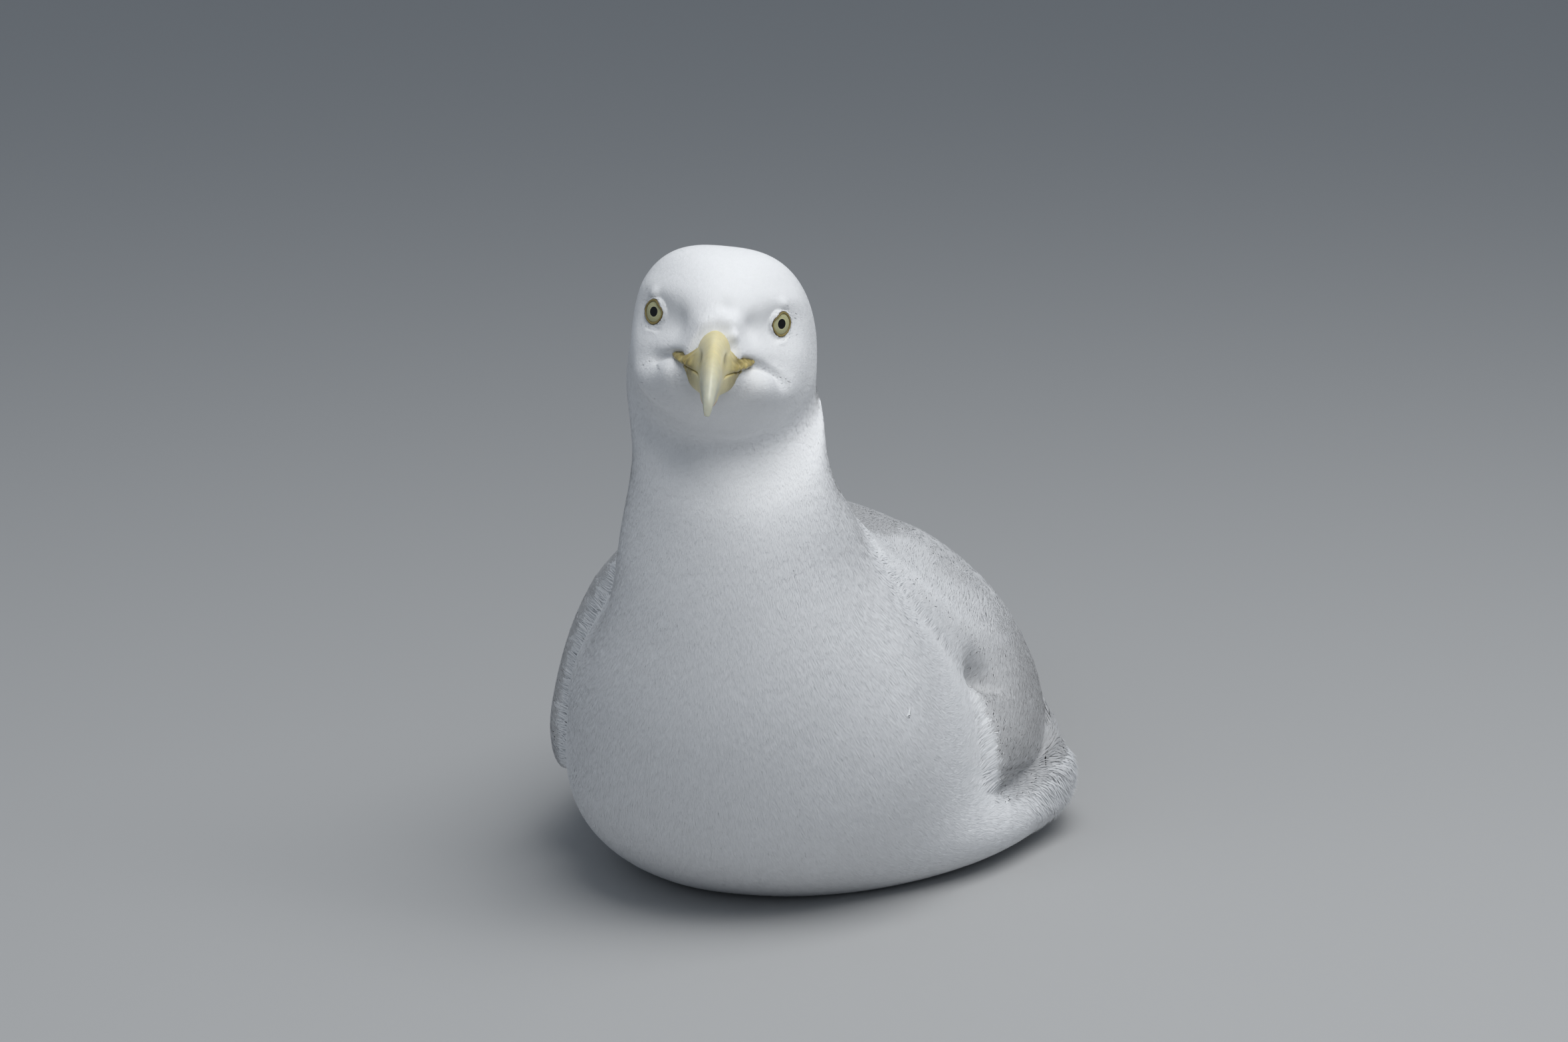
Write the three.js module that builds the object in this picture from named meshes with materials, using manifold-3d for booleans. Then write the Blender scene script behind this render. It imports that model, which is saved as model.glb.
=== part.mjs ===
// Adult herring gull resting on its belly with its head up, as a still life-size model.
//
// Millimetres, +Z up. The bird faces -Y and +X is its left. The origin is on the floor,
// in the middle of the flat on which the belly rests. The feet are folded under the belly.
//
// The body is one closed surface: a ring of points at each position t along it, from the tail
// root (t = 0) over the back and belly, up the neck and over the head to the bill's root.
// Each ring runs round a line from the belly side to the back side of the bird.

import * as THREE from "three";
import { mergeVertices } from "three/addons/utils/BufferGeometryUtils.js";
import Module from "manifold-3d";

const wasm = await Module();
wasm.setup();

// ---- Driving dimensions -------------------------------------------------------------------

const GAP = 0.3; // air left between neighbouring pieces
const EYE_LINE = [0, -86, 225]; // the point midway between the eyes, in the body's frame
const HEAD_TURN = 14; // degrees to the bird's left
const HEAD_LEAN = 5.5; // degrees, crown towards the bird's left
const HEAD_DIP = 0; // degrees, bill down

const EYE_RADIUS = 7.4;
const EYE_PLACE = [18.5, 0.2, 1.4]; // the left eyeball's middle, in the head's frame

const WING_SKIN = 0.9; // the thickness of the folded wing at its edges
const TAIL_TIP = 300; // how far back the tail reaches
const WING_TIP = 342; // how far back the folded wing points reach

const BODY_STEPS = 43; // rings along the body
const BODY_SIDES = 26; // points round each ring

// ---- Small helpers ------------------------------------------------------------------------

const radians = THREE.MathUtils.degToRad;
const v3 = (x, y, z) => new THREE.Vector3(x, y, z);
const clamp01 = (x) => Math.min(1, Math.max(0, x));
const smooth = (from, to, x) => {
  const s = clamp01((x - from) / (to - from));
  return s * s * (3 - 2 * s);
};
// A bell of height 1 and the given half-width.
const bell = (x, width) => Math.exp(-((x / width) ** 2));
// A quarter-round: 0 at the edge of a piece, 1 once depth is reached.
const rounded = (x, depth) => Math.sqrt(1 - (1 - clamp01(x / depth)) ** 2);
// A power that keeps the sign of its base, for superellipses.
const signedPower = (x, power) => Math.sign(x) * Math.abs(x) ** power;

// A smooth line through points or plain numbers, read at s from 0 to 1.
function smoothLine(values) {
  const points = values.map((v) => (Array.isArray(v) ? v3(...v) : v.isVector3 ? v : v3(v, 0, 0)));
  const curve = new THREE.CatmullRomCurve3(points, false, "catmullrom", 0.5);
  return (s) => curve.getPoint(clamp01(s));
}

// A closed solid from rings that all have the same number of points, with its ends capped.
function solidFromRings(rings) {
  const sides = rings[0].length;
  const points = rings.flat();
  const middle = (ring) => ring.reduce((sum, p) => sum.add(p), v3(0, 0, 0)).divideScalar(sides);
  const first = points.length;
  points.push(middle(rings[0]), middle(rings.at(-1)));
  const faces = [];
  const at = (i, j) => i * sides + (j % sides);
  for (let i = 0; i + 1 < rings.length; i++) {
    for (let j = 0; j < sides; j++) {
      faces.push([at(i, j), at(i + 1, j), at(i + 1, j + 1)]);
      faces.push([at(i, j), at(i + 1, j + 1), at(i, j + 1)]);
    }
  }
  const last = rings.length - 1;
  for (let j = 0; j < sides; j++) {
    faces.push([first, at(0, j), at(0, j + 1)]);
    faces.push([first + 1, at(last, j + 1), at(last, j)]);
  }
  return solidFromFaces(points, faces);
}

// A manifold solid from points and triangles, turned the right way out.
function solidFromFaces(points, faces) {
  const make = (triangles) => {
    const geometry = new THREE.BufferGeometry();
    const flat = triangles.flatMap((f) => f.flatMap((k) => points[k].toArray()));
    geometry.setAttribute("position", new THREE.Float32BufferAttribute(flat, 3));
    return solidFromGeometry(geometry);
  };
  const made = make(faces);
  return made.volume() > 0 ? made : make(faces.map(([a, b, c]) => [a, c, b]));
}

function solidFromGeometry(geometry) {
  geometry.deleteAttribute("normal");
  geometry.deleteAttribute("uv");
  const merged = mergeVertices(geometry, 1e-4);
  const vertProperties = merged.attributes.position.array;
  const triVerts = new Uint32Array(merged.index.array);
  return new wasm.Manifold(new wasm.Mesh({ numProp: 3, vertProperties, triVerts }));
}

function geometryFromSolid(solid) {
  const mesh = solid.getMesh();
  const geometry = new THREE.BufferGeometry();
  geometry.setAttribute("position", new THREE.BufferAttribute(mesh.vertProperties, 3));
  geometry.setIndex(new THREE.BufferAttribute(mesh.triVerts, 1));
  geometry.computeVertexNormals();
  return geometry;
}

// The part of a solid on the side of a plane that the normal points to.
const keepAbove = (solid, normal, point) => {
  const n = normal.clone().normalize();
  return solid.trimByPlane(n.toArray(), n.dot(point));
};

// ---- The head's frame: origin midway between the eyes, bill along -Y, crown up -------------

const headTurn = new THREE.Matrix4()
  .makeRotationZ(radians(HEAD_TURN))
  .multiply(new THREE.Matrix4().makeRotationY(radians(HEAD_LEAN)))
  .multiply(new THREE.Matrix4().makeRotationX(radians(HEAD_DIP)));
const headPlace = headTurn.clone().setPosition(...EYE_LINE);
const headPlaceBack = headPlace.clone().invert();

// ---- The body's stations -------------------------------------------------------------------
// back and front are the [y, z] ends of each ring on the bird's back side and belly side, in
// the body's frame, or in the head's frame for head stations. half is the half-width, level
// how far up from the front end the widest place is, and top and bottom are the superellipse
// powers of the ring's two halves. shift moves a ring sideways.

const bodyStations = [
  { back: [188, 78], front: [182, 50], half: 20, level: 0.5, top: 2, bottom: 2 },
  { back: [158, 96], front: [150, 22], half: 48, level: 0.42, top: 2, bottom: 2.2 },
  { back: [116, 115], front: [108, 0], half: 72, level: 0.3, top: 1.75, bottom: 2.8 },
  { back: [68, 129], front: [58, -6], half: 83, level: 0.26, top: 1.65, bottom: 3.5 },
  { back: [24, 138], front: [6, -6], half: 81, level: 0.29, top: 1.7, bottom: 3 },
  { back: [-10, 147], front: [-44, -2], half: 76, level: 0.36, top: 1.9, bottom: 2.3 },
  { back: [-29, 158], front: [-88, 22], half: 68, level: 0.4, top: 1.9, bottom: 2 },
  { back: [-40, 170], front: [-110, 66], half: 52.5, level: 0.42, top: 1.9, bottom: 2 },
  { back: [-44, 184], front: [-114, 113], half: 40.5, level: 0.42, top: 1.9, bottom: 2, shift: 1 },
  { back: [-44, 200], front: [-108, 154], half: 35, level: 0.45, top: 2, bottom: 2, shift: 1.5 },
];
const headStations = [
  { back: [45, -8], front: [-8, -47], half: 34, level: 0.5, top: 2.2, bottom: 2, shift: 3 },
  { back: [41, 12], front: [-13, -38], half: 33.5, level: 0.5, top: 2.6, bottom: 2.1, shift: 3 },
  { back: [20, 24], front: [-18, -33], half: 30.5, level: 0.5, top: 2.75, bottom: 2.2, shift: 0.8 },
  { back: [3, 23], front: [-22, -29.5], half: 23, level: 0.45, top: 2.7, bottom: 2.2, shift: 0 },
  { back: [-10, 16], front: [-25, -26], half: 16.5, level: 0.4, top: 2.3, bottom: 2.2, shift: 0 },
  { back: [-19, 7.5], front: [-27.5, -22.5], half: 12, level: 0.4, top: 2, bottom: 2, shift: 0 },
  { back: [-25, 0.5], front: [-30, -18], half: 8.5, level: 0.4, top: 2, bottom: 2, shift: 0 },
];

const inBody = (y, z, x = 0) => v3(x, y, z);
const inHead = (y, z, x = 0) => v3(x, y, z).applyMatrix4(headPlace);
const bodySide = v3(1, 0, 0);
const headSide = v3(1, 0, 0).applyMatrix4(headTurn);

const allStations = [
  ...bodyStations.map((s) => ({ ...s, place: inBody, side: bodySide })),
  ...headStations.map((s) => ({ ...s, place: inHead, side: headSide })),
];
const LAST = allStations.length - 1; // t runs from 0 to LAST
const backLine = smoothLine(allStations.map((s) => s.place(...s.back, s.shift ?? 0)));
const frontLine = smoothLine(allStations.map((s) => s.place(...s.front, s.shift ?? 0)));
const sideLine = smoothLine(allStations.map((s) => s.side.clone().multiplyScalar(s.half)));
const shapeLine = smoothLine(allStations.map((s) => [s.level, s.top, s.bottom]));

// Swellings and hollows of the surface: at is [y, z], size their half-widths, push how far the
// surface moves sideways, and leftMore how much further it moves on the bird's left.
const bodySwellings = [
  { at: [78, 15], size: [44, 17], push: 14, leftMore: 5.5 }, // flank feathers over the wing's edge
  { at: [8, 8], size: [48, 18], push: 0, leftMore: 14 }, // the left flank, fluffed out lower down
  { at: [-62, 116], size: [34, 24], push: -9, leftMore: 9 }, // the right shoulder, drawn in
  { at: [-66, 62], size: [28, 26], push: -4.5, leftMore: 4.5 }, // the breast before the right wing
  { at: [-60, 152], size: [32, 17], push: 0, leftMore: 5 }, // the foot of the neck, fuller on its left
];
const headSwellings = [
  { at: [-6, 1], size: [8, 8], push: -4.2 }, // the basin that holds the eye
  { at: [-15, -3], size: [8, 7], push: -2.4 }, // the lore, between eye and bill
  { at: [-19, -12], size: [8, 4], push: -4 }, // the crease behind the gape
  { at: [-2, 10], size: [10, 4.5], push: 1.4 }, // the brow
  { at: [-15, -22], size: [11, 7], push: 2.6 }, // the pad below the gape
];

function swell(p, swellings) {
  const side = Math.tanh(p.x / 4);
  for (const { at, size, push, leftMore = 0 } of swellings) {
    const reach = side * (push + leftMore * Math.max(0, side));
    p.x += reach * bell(p.y - at[0], size[0]) * bell(p.z - at[1], size[1]);
  }
  return p;
}

// The body's surface at position t along it and angle round it: 0 is the bird's left side,
// 90 its back and -90 its belly.
function bodyPoint(t, angle) {
  const s = t / LAST;
  const back = backLine(s);
  const front = frontLine(s);
  const { x: level, y: top, z: bottom } = shapeLine(s);
  const middle = front.clone().lerp(back, level);
  const c = Math.cos(radians(angle));
  const h = Math.sin(radians(angle));
  const power = 2 / (h >= 0 ? top : bottom);
  const rise = h >= 0 ? back.sub(middle) : middle.clone().sub(front);
  const p = middle.addScaledVector(sideLine(s), signedPower(c, power));
  p.addScaledVector(rise, signedPower(h, power));
  swell(p, bodySwellings);
  return swell(p.applyMatrix4(headPlaceBack), headSwellings).applyMatrix4(headPlace);
}

// The outward normal there, from two short steps over the surface.
function bodyNormal(t, angle) {
  const [dt, da] = [0.01, 0.5];
  const inside = t < LAST / 2 ? dt : -dt;
  const p = bodyPoint(t, angle);
  const along = bodyPoint(t + inside, angle).sub(p).multiplyScalar(Math.sign(inside));
  const round = bodyPoint(t, angle + da).sub(p);
  return round.cross(along).normalize();
}

// A ring of the body, moved outwards by grow.
function bodyRing(t, grow) {
  const ring = [];
  for (let j = 0; j < BODY_SIDES; j++) {
    const angle = (360 * (j + 0.5)) / BODY_SIDES;
    ring.push(bodyPoint(t, angle).addScaledVector(bodyNormal(t, angle), grow));
  }
  return ring;
}

// The whole body, from tail root to bill root, with the head's end of it in finer steps.
function wholeBody(grow) {
  const rings = [];
  for (let i = 0; i <= BODY_STEPS; i++) {
    const share = i / BODY_STEPS;
    rings.push(bodyRing(LAST * (share + 0.07 * Math.sin(Math.PI * share)), grow));
  }
  return solidFromRings(rings);
}

const sides = [1, -1];
const sideName = (side) => (side > 0 ? "left" : "right");

// ---- Folded wings ---------------------------------------------------------------------------

// The arm of the wing, with its coverts, lies over the side of the trunk as a shell. a runs
// from its front edge (0) to the rump (1), b from its upper edge near the spine to its lower one.
// front is where its upper front corner lies along the body, and slant how far back the lower one
// is, over the given range of b. low gives the angles of its lower corners, and full is the b at
// which it reaches its thickness. The right wing is held a little further out than the left one.
const wingShapes = {
  left: { front: 6.1, slant: 1.85, range: [0.3, 0.62], low: [-3, 8], thick: 10.5, full: 0.8 },
  right: { front: 5.8, slant: 0.8, range: [0.15, 0.8], low: [-9, 10], thick: 9.5, full: 0.45 },
};
const WING_REAR = 1.35; // where the wing's arm ends over the rump

function wingArm(side) {
  const [along, across] = [13, 9];
  const { front, slant, range, low, thick, full } = wingShapes[sideName(side)];
  const place = (a, b, lift) => {
    const t = THREE.MathUtils.lerp(front - slant * smooth(...range, b), WING_REAR, a);
    const upper = THREE.MathUtils.lerp(66, 74, a);
    const angle = THREE.MathUtils.lerp(upper, THREE.MathUtils.lerp(...low, a), b);
    const round = side > 0 ? angle : 180 - angle;
    return bodyPoint(t, round).addScaledVector(bodyNormal(t, round), lift);
  };
  const height = (a, b) => {
    const ends = rounded(a, 0.2) * rounded(1 - a, 0.9);
    return WING_SKIN + thick * ends * smooth(0, full, b) * rounded(1 - b, 0.25);
  };
  const rings = [];
  for (let i = 0; i <= along; i++) {
    const a = i / along;
    const ring = [];
    for (let j = 0; j <= across; j++) {
      ring.push(place(a, j / across, GAP + height(a, j / across)));
    }
    for (let j = across; j >= 0; j--) ring.push(place(a, j / across, -2));
    rings.push(ring);
  }
  return solidFromRings(rings);
}

// The right-hand copy of a left-hand solid.
const mirrored = (solid, side) => (side > 0 ? solid : solid.mirror([1, 0, 0]));

// A long flat piece, such as a fan of feathers, carried along a line. At each place it has a
// half-width, a thickness and a twist about its line, and midway it arches across by arch.
function bladeSolid({ line, half, thick, twist, arch }) {
  const [steps, sides] = [11, 12];
  const place = smoothLine(line);
  const [halfAt, thickAt, twistAt] = [half, thick, twist].map(smoothLine);
  const rings = [];
  for (let i = 0; i <= steps; i++) {
    const s = i / steps;
    const middle = place(s);
    const ahead = place(Math.min(1, s + 0.01)).sub(place(Math.max(0, s - 0.01))).normalize();
    const flat = v3(0, 0, 1).cross(ahead).normalize();
    const wide = flat.applyAxisAngle(ahead, radians(twistAt(s).x));
    const up = ahead.clone().cross(wide).normalize();
    const [w, h, bend] = [halfAt(s).x, thickAt(s).x / 2, 4 * arch * s * (1 - s)];
    const ring = [];
    for (let j = 0; j < sides; j++) {
      const angle = (2 * Math.PI * j) / sides;
      const across = signedPower(Math.cos(angle), 0.85);
      const p = middle.clone().addScaledVector(wide, w * across);
      ring.push(p.addScaledVector(up, h * Math.sin(angle) - bend * across ** 2));
    }
    rings.push(ring);
  }
  return solidFromRings(rings);
}

// The rear of the folded wing: tertials and secondaries, over the rump and the tail.
const tertials = (side) =>
  bladeSolid({
    line: [[48, 88, 96], [33, 136, 93], [22, 184, 81], [12, 226, 65]].map(toSide(side)),
    half: [24, 31, 23, 5],
    thick: [4, 6, 4.5, 1.8],
    twist: [46, 41, 35, 26].map((x) => x * side),
    arch: 5,
  });

// The folded wing point: the primaries, whose tips cross over the tail, left over right.
const primaries = (side) =>
  bladeSolid({
    line: [
      [58, 100, 61],
      [45, 160, 57],
      [25, 240, 46 + 2 * side],
      [5, 300, 38 + 3 * side],
      [-7, WING_TIP, 35 + 4 * side],
    ].map(toSide(side)),
    half: [19, 19, 14, 9, 3],
    thick: [5, 4.5, 4, 3, 1.4],
    twist: [52, 48, 34, 22, 12].map((x) => x * side),
    arch: 1.5,
  });

const toSide = (side) => ([x, y, z]) => [x * side, y, z];

// ---- Tail -----------------------------------------------------------------------------------

const tailFan = () =>
  bladeSolid({
    line: [[0, 150, 64], [0, 200, 46], [0, 255, 30], [0, TAIL_TIP, 21]],
    half: [22, 27, 32, 36],
    thick: [8, 6, 4, 2],
    twist: [0, 0, 0, 0],
    arch: 5,
  });

// ---- Bill -----------------------------------------------------------------------------------
// Sections from the face to the tip, in the head's frame: y, the heights of the ridge and of
// the cutting edge, and the half-widths at the edge and under the ridge.

const upperBill = [
  { y: -13, ridge: 1, edge: -11.5, wide: 17, narrow: 6.6 },
  { y: -21, ridge: 0.8, edge: -12, wide: 15.4, narrow: 6.1 },
  { y: -28, ridge: 0.5, edge: -12.6, wide: 11.4, narrow: 5.4 },
  { y: -36, ridge: 0.2, edge: -13, wide: 5.8, narrow: 4.7 },
  { y: -46, ridge: -0.4, edge: -13.4, wide: 4.5, narrow: 4.1 },
  { y: -58, ridge: -2.4, edge: -13.8, wide: 3.8, narrow: 3.7 },
  { y: -68, ridge: -7, edge: -15, wide: 2.6, narrow: 2.8 },
  { y: -74.5, ridge: -13.5, edge: -18.5, wide: 1.5, narrow: 1.7 },
  { y: -76, ridge: -18.5, edge: -20.5, wide: 0.8, narrow: 0.8 },
];
const lowerBill = [
  { y: -13, edge: -11.6, keel: -21.5, wide: 16 },
  { y: -21, edge: -11.8, keel: -21.5, wide: 14.2 },
  { y: -29, edge: -12.2, keel: -21, wide: 9.6 },
  { y: -40, edge: -12.7, keel: -20.6, wide: 4.8 },
  { y: -52, edge: -13.2, keel: -20.9, wide: 3.7 },
  { y: -60, edge: -13.7, keel: -20, wide: 2.7 },
  { y: -68, edge: -15.2, keel: -17.8, wide: 1.4 },
];

// One mandible: sections made by shape(values, angle) along the smooth line through the rows.
function mandible(rows, keys, shape) {
  const [steps, sides] = [12, 12];
  const first = smoothLine(rows.map((r) => keys.slice(0, 3).map((k) => r[k])));
  const second = smoothLine(rows.map((r) => [r.wide, r.narrow ?? r.wide, 0]));
  const rings = [];
  for (let i = 0; i <= steps; i++) {
    const { x: y, y: high, z: low } = first(i / steps);
    const { x: wide, y: narrow } = second(i / steps);
    const ring = [];
    for (let j = 0; j < sides; j++) {
      const angle = (2 * Math.PI * (j + 0.5)) / sides;
      const [x, z] = shape({ high, low, wide, narrow }, angle);
      ring.push(inHead(y, z, x));
    }
    rings.push(ring);
  }
  return solidFromRings(rings);
}

// The upper mandible's section: a round ridge that flares to a flat underside.
function upperSection({ high, low, wide, narrow }, angle) {
  const c = Math.cos(angle);
  const h = Math.sin(angle);
  const flare = narrow + (wide - narrow) * smooth(0.2, -0.75, h);
  const x = flare * signedPower(c, h > 0 ? 1.15 : 0.35);
  const z = h > 0 ? h ** 1.15 : signedPower(h, 0.45);
  return [x, (high + low) / 2 + ((high - low) / 2) * z];
}

// The lower mandible's section: flat above, keeled below.
function lowerSection({ high, low, wide }, angle) {
  const c = Math.cos(angle);
  const h = Math.sin(angle);
  const z = signedPower(h, h > 0 ? 0.3 : 0.95);
  const x = wide * signedPower(c, h > 0 ? 0.35 : 0.6) * (0.87 + 0.13 * z);
  return [x, (high + low) / 2 + ((high - low) / 2) * z];
}

const upperMandible = () => mandible(upperBill, ["y", "ridge", "edge"], upperSection);
const lowerMandible = () => mandible(lowerBill, ["y", "edge", "keel"], lowerSection);

// ---- Eyes -----------------------------------------------------------------------------------

function eyeSolid(side, grow = 0) {
  const ball = new THREE.SphereGeometry(EYE_RADIUS + grow, 14, 10);
  ball.translate(side * EYE_PLACE[0], EYE_PLACE[1], EYE_PLACE[2]);
  return solidFromGeometry(ball.applyMatrix4(headPlace));
}

// ---- Legs and feet --------------------------------------------------------------------------
// Each foot lies flat under the belly: shank behind, three webbed toes in front.

const FOOT = { x: 24, y: 9, flat: 0, web: 1.6 };
const TOES = [
  { length: 38, turn: -17, radius: 2.3 }, // inner toe
  { length: 50, turn: -2, radius: 2.6 }, // middle toe
  { length: 44, turn: 13, radius: 2.3 }, // outer toe
];
const SHANK = { length: 62, turn: 178, radius: 3.6 };

// A tapering rod that lies on the floor, from the foot's joint outwards.
function floorRod({ length, turn, radius }, grow) {
  const rings = [];
  const [steps, sides] = [4, 7];
  const ahead = v3(Math.sin(radians(turn)), -Math.cos(radians(turn)), 0);
  const wide = v3(-ahead.y, ahead.x, 0);
  for (let i = 0; i <= steps; i++) {
    const s = i / steps;
    const r = radius * (1 - 0.35 * s) * rounded(1.02 - s, 0.12) + grow;
    const middle = ahead.clone().multiplyScalar(length * s + (s - 0.5) * 2 * grow);
    const ring = [];
    for (let j = 0; j < sides; j++) {
      const angle = (2 * Math.PI * j) / sides;
      const p = middle.clone().addScaledVector(wide, r * Math.cos(angle));
      p.z = radius * 0.75 + r * Math.sin(angle);
      ring.push(p);
    }
    rings.push(ring);
  }
  return solidFromRings(rings);
}

// The web: a thin plate from the joint to just short of the toe tips, scalloped between them.
function footWeb(grow) {
  const reach = TOES.map(({ length, turn }) => {
    const far = length * 0.93 + grow;
    return new THREE.Vector2(Math.sin(radians(turn)) * far, -Math.cos(radians(turn)) * far);
  });
  const outline = new THREE.Shape();
  outline.moveTo(0, 4 + grow);
  outline.lineTo(reach[0].x - grow, reach[0].y);
  for (const [from, to] of [[reach[0], reach[1]], [reach[1], reach[2]]]) {
    const dent = from.clone().add(to).multiplyScalar(0.44);
    outline.quadraticCurveTo(dent.x, dent.y, to.x + (to === reach[2] ? grow : 0), to.y);
  }
  outline.closePath();
  const depth = FOOT.web + grow;
  const plate = new THREE.ExtrudeGeometry(outline, { depth, bevelEnabled: false, curveSegments: 4 });
  return solidFromGeometry(plate);
}

// Shank, toes and web joined, flat underneath, at the bird's left.
function legSolid(side, grow = 0) {
  const rods = [SHANK, ...TOES].map((rod) => floorRod(rod, grow));
  const joined = rods.reduce((sum, rod) => sum.add(rod), footWeb(grow));
  const placed = joined.translate([FOOT.x, FOOT.y, 0]);
  const floor = v3(0, 0, FOOT.flat - (grow ? 5 : 0));
  return mirrored(keepAbove(placed, v3(0, 0, 1), floor), side);
}

// ---- Putting the bird together --------------------------------------------------------------

// The planes that part head, neck and trunk, each through the middle of a body ring.
function partingPlane(t) {
  const back = backLine(t / LAST);
  const front = frontLine(t / LAST);
  const normal = sideLine(t / LAST).cross(back.clone().sub(front)).normalize();
  if (normal.z < 0) normal.negate();
  return { point: front.lerp(back, 0.5), normal };
}

function apart({ point, normal }, solid, upper) {
  const out = normal.clone().multiplyScalar(upper ? 1 : -1);
  return keepAbove(solid, out, point.clone().addScaledVector(out, GAP / 2));
}

const neckTop = partingPlane(9.6);
const neckFoot = partingPlane(6.6);
const floorUp = v3(0, 0, 1);

const legPockets = sides.map((side) => legSolid(side, 0.4));
const eyeSockets = sides.map((side) => eyeSolid(side, GAP));

const body = keepAbove(wholeBody(0), floorUp, v3(0, 0, 0));
const bodyRoom = wholeBody(GAP); // the body with the air round it, for cutting its neighbours
const without = (solid, cutters) => cutters.reduce((rest, cutter) => rest.subtract(cutter), solid);

// A solid with the gap's worth of air round it, as a solid.
function room(solid) {
  const shifts = [[GAP, 0, 0], [-GAP, 0, 0], [0, GAP, 0], [0, -GAP, 0], [0, 0, GAP], [0, 0, -GAP]];
  return shifts.reduce((sum, shift) => sum.add(solid.translate(shift)), solid);
}

// The largest of the pieces that a cut leaves.
const mainPiece = (solid) =>
  solid.decompose().reduce((best, s) => (s.volume() > best.volume() ? s : best));

const pieces = [];
const addPiece = (name, solid, finish) => pieces.push({ name, solid: mainPiece(solid), finish });

addPiece("head", without(apart(neckTop, body, true), eyeSockets), "white");
addPiece("neck", apart(neckFoot, apart(neckTop, body, false), true), "white");
addPiece("trunk", without(apart(neckFoot, body, false), legPockets), "white");
const tail = tailFan();
addPiece("tail", tail.subtract(bodyRoom), "white");
const taken = [bodyRoom, room(tail)]; // the space already filled, for each piece of the wings
for (const [name, shape, finish] of [
  ["wing", wingArm, "grey"],
  ["tertials", tertials, "grey"],
  ["primaries", primaries, "black"],
]) {
  for (const side of sides) {
    const solid = shape(side);
    addPiece(`${name}_${sideName(side)}`, without(solid, taken), finish);
    taken.push(room(solid));
  }
}
for (const side of sides) {
  addPiece(`eye_${sideName(side)}`, eyeSolid(side), "iris");
  addPiece(`leg_${sideName(side)}`, legSolid(side), "leg");
}
addPiece("bill_upper", upperMandible().subtract(bodyRoom), "horn");
addPiece("bill_lower", without(lowerMandible(), [bodyRoom, room(upperMandible())]), "horn");

const finishes = {
  white: { color: 0xeceef2, roughness: 0.9, metalness: 0 },
  grey: { color: 0xa4a8ad, roughness: 0.85, metalness: 0 },
  black: { color: 0x1d1c1d, roughness: 0.75, metalness: 0 },
  horn: { color: 0xd8bf5e, roughness: 0.4, metalness: 0 },
  iris: { color: 0xd9d49a, roughness: 0.1, metalness: 0 },
  leg: { color: 0xd9a29b, roughness: 0.6, metalness: 0 },
};

const gull = new THREE.Group();
for (const { name, solid, finish } of pieces) {
  const mesh = new THREE.Mesh(
    geometryFromSolid(solid),
    new THREE.MeshStandardMaterial(finishes[finish]),
  );
  mesh.name = name;
  gull.add(mesh);
}

export default gull;
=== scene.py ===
"""An adult herring gull resting on its belly, as a still life-size model with its coat of feathers.

Shapes are worked out in millimetres in the body's own frame: the bird faces -Y, +X is its left and the
floor is z = 0. Meshes are written in metres, in the same frame.
"""

import math

import bpy
import numpy as np
from mathutils import Matrix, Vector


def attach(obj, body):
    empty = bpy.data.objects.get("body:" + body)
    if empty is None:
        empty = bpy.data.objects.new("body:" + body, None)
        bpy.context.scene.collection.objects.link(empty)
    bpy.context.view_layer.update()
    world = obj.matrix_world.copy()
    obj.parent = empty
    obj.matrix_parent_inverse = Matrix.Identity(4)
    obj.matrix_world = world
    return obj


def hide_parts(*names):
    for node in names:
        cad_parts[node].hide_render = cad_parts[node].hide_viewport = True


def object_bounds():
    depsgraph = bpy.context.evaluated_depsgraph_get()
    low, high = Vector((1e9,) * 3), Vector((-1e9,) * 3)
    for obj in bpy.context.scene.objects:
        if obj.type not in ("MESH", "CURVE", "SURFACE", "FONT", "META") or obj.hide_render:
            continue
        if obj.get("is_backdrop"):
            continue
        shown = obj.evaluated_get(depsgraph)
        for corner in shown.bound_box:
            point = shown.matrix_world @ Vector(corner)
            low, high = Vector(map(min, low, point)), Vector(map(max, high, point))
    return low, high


bl_info = {
    "name": "Resting Herring Gull",
    "version": (1, 0, 0),
    "blender": (4, 5, 0),
    "location": "View3D > Sidebar > Gull",
    "description": "Builds a resting herring gull: skin, coat, flight feathers, bill and eyes",
    "category": "Object",
}

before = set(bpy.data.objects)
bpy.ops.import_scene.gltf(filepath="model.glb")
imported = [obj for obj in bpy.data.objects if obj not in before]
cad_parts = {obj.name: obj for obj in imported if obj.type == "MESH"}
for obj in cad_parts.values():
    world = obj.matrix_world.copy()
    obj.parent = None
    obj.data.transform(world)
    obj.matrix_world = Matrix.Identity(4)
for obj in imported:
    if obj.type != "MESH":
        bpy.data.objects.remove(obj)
CAD_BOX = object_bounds()

MM = 0.001
GOLDEN = 0.6180339887  # its multiples, less their whole part, spread evenly from 0 to 1

# ---- The head's frame: origin midway between the eyes, bill along -Y, crown up ----

EYE_LINE = np.array([0.0, -86.0, 225.0])
HEAD_TURN = 14.0
HEAD_LEAN = 5.5
EYE_RADIUS = 7.4
EYE_PLACE = np.array([18.5, 0.2, 1.4])
EYE_LOOK = np.array([0.70, -0.705, 0.10])  # the way the opening between the lids faces
EYE_GAZE = np.array([0.655, -0.75, 0.10])  # the way the pupil faces
LID_RADIUS = 4.3  # the opening between the lids
PUPIL_RADIUS = 1.75
HEAD_START = 9.5  # the t from which the surface is read in the head's frame


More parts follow.
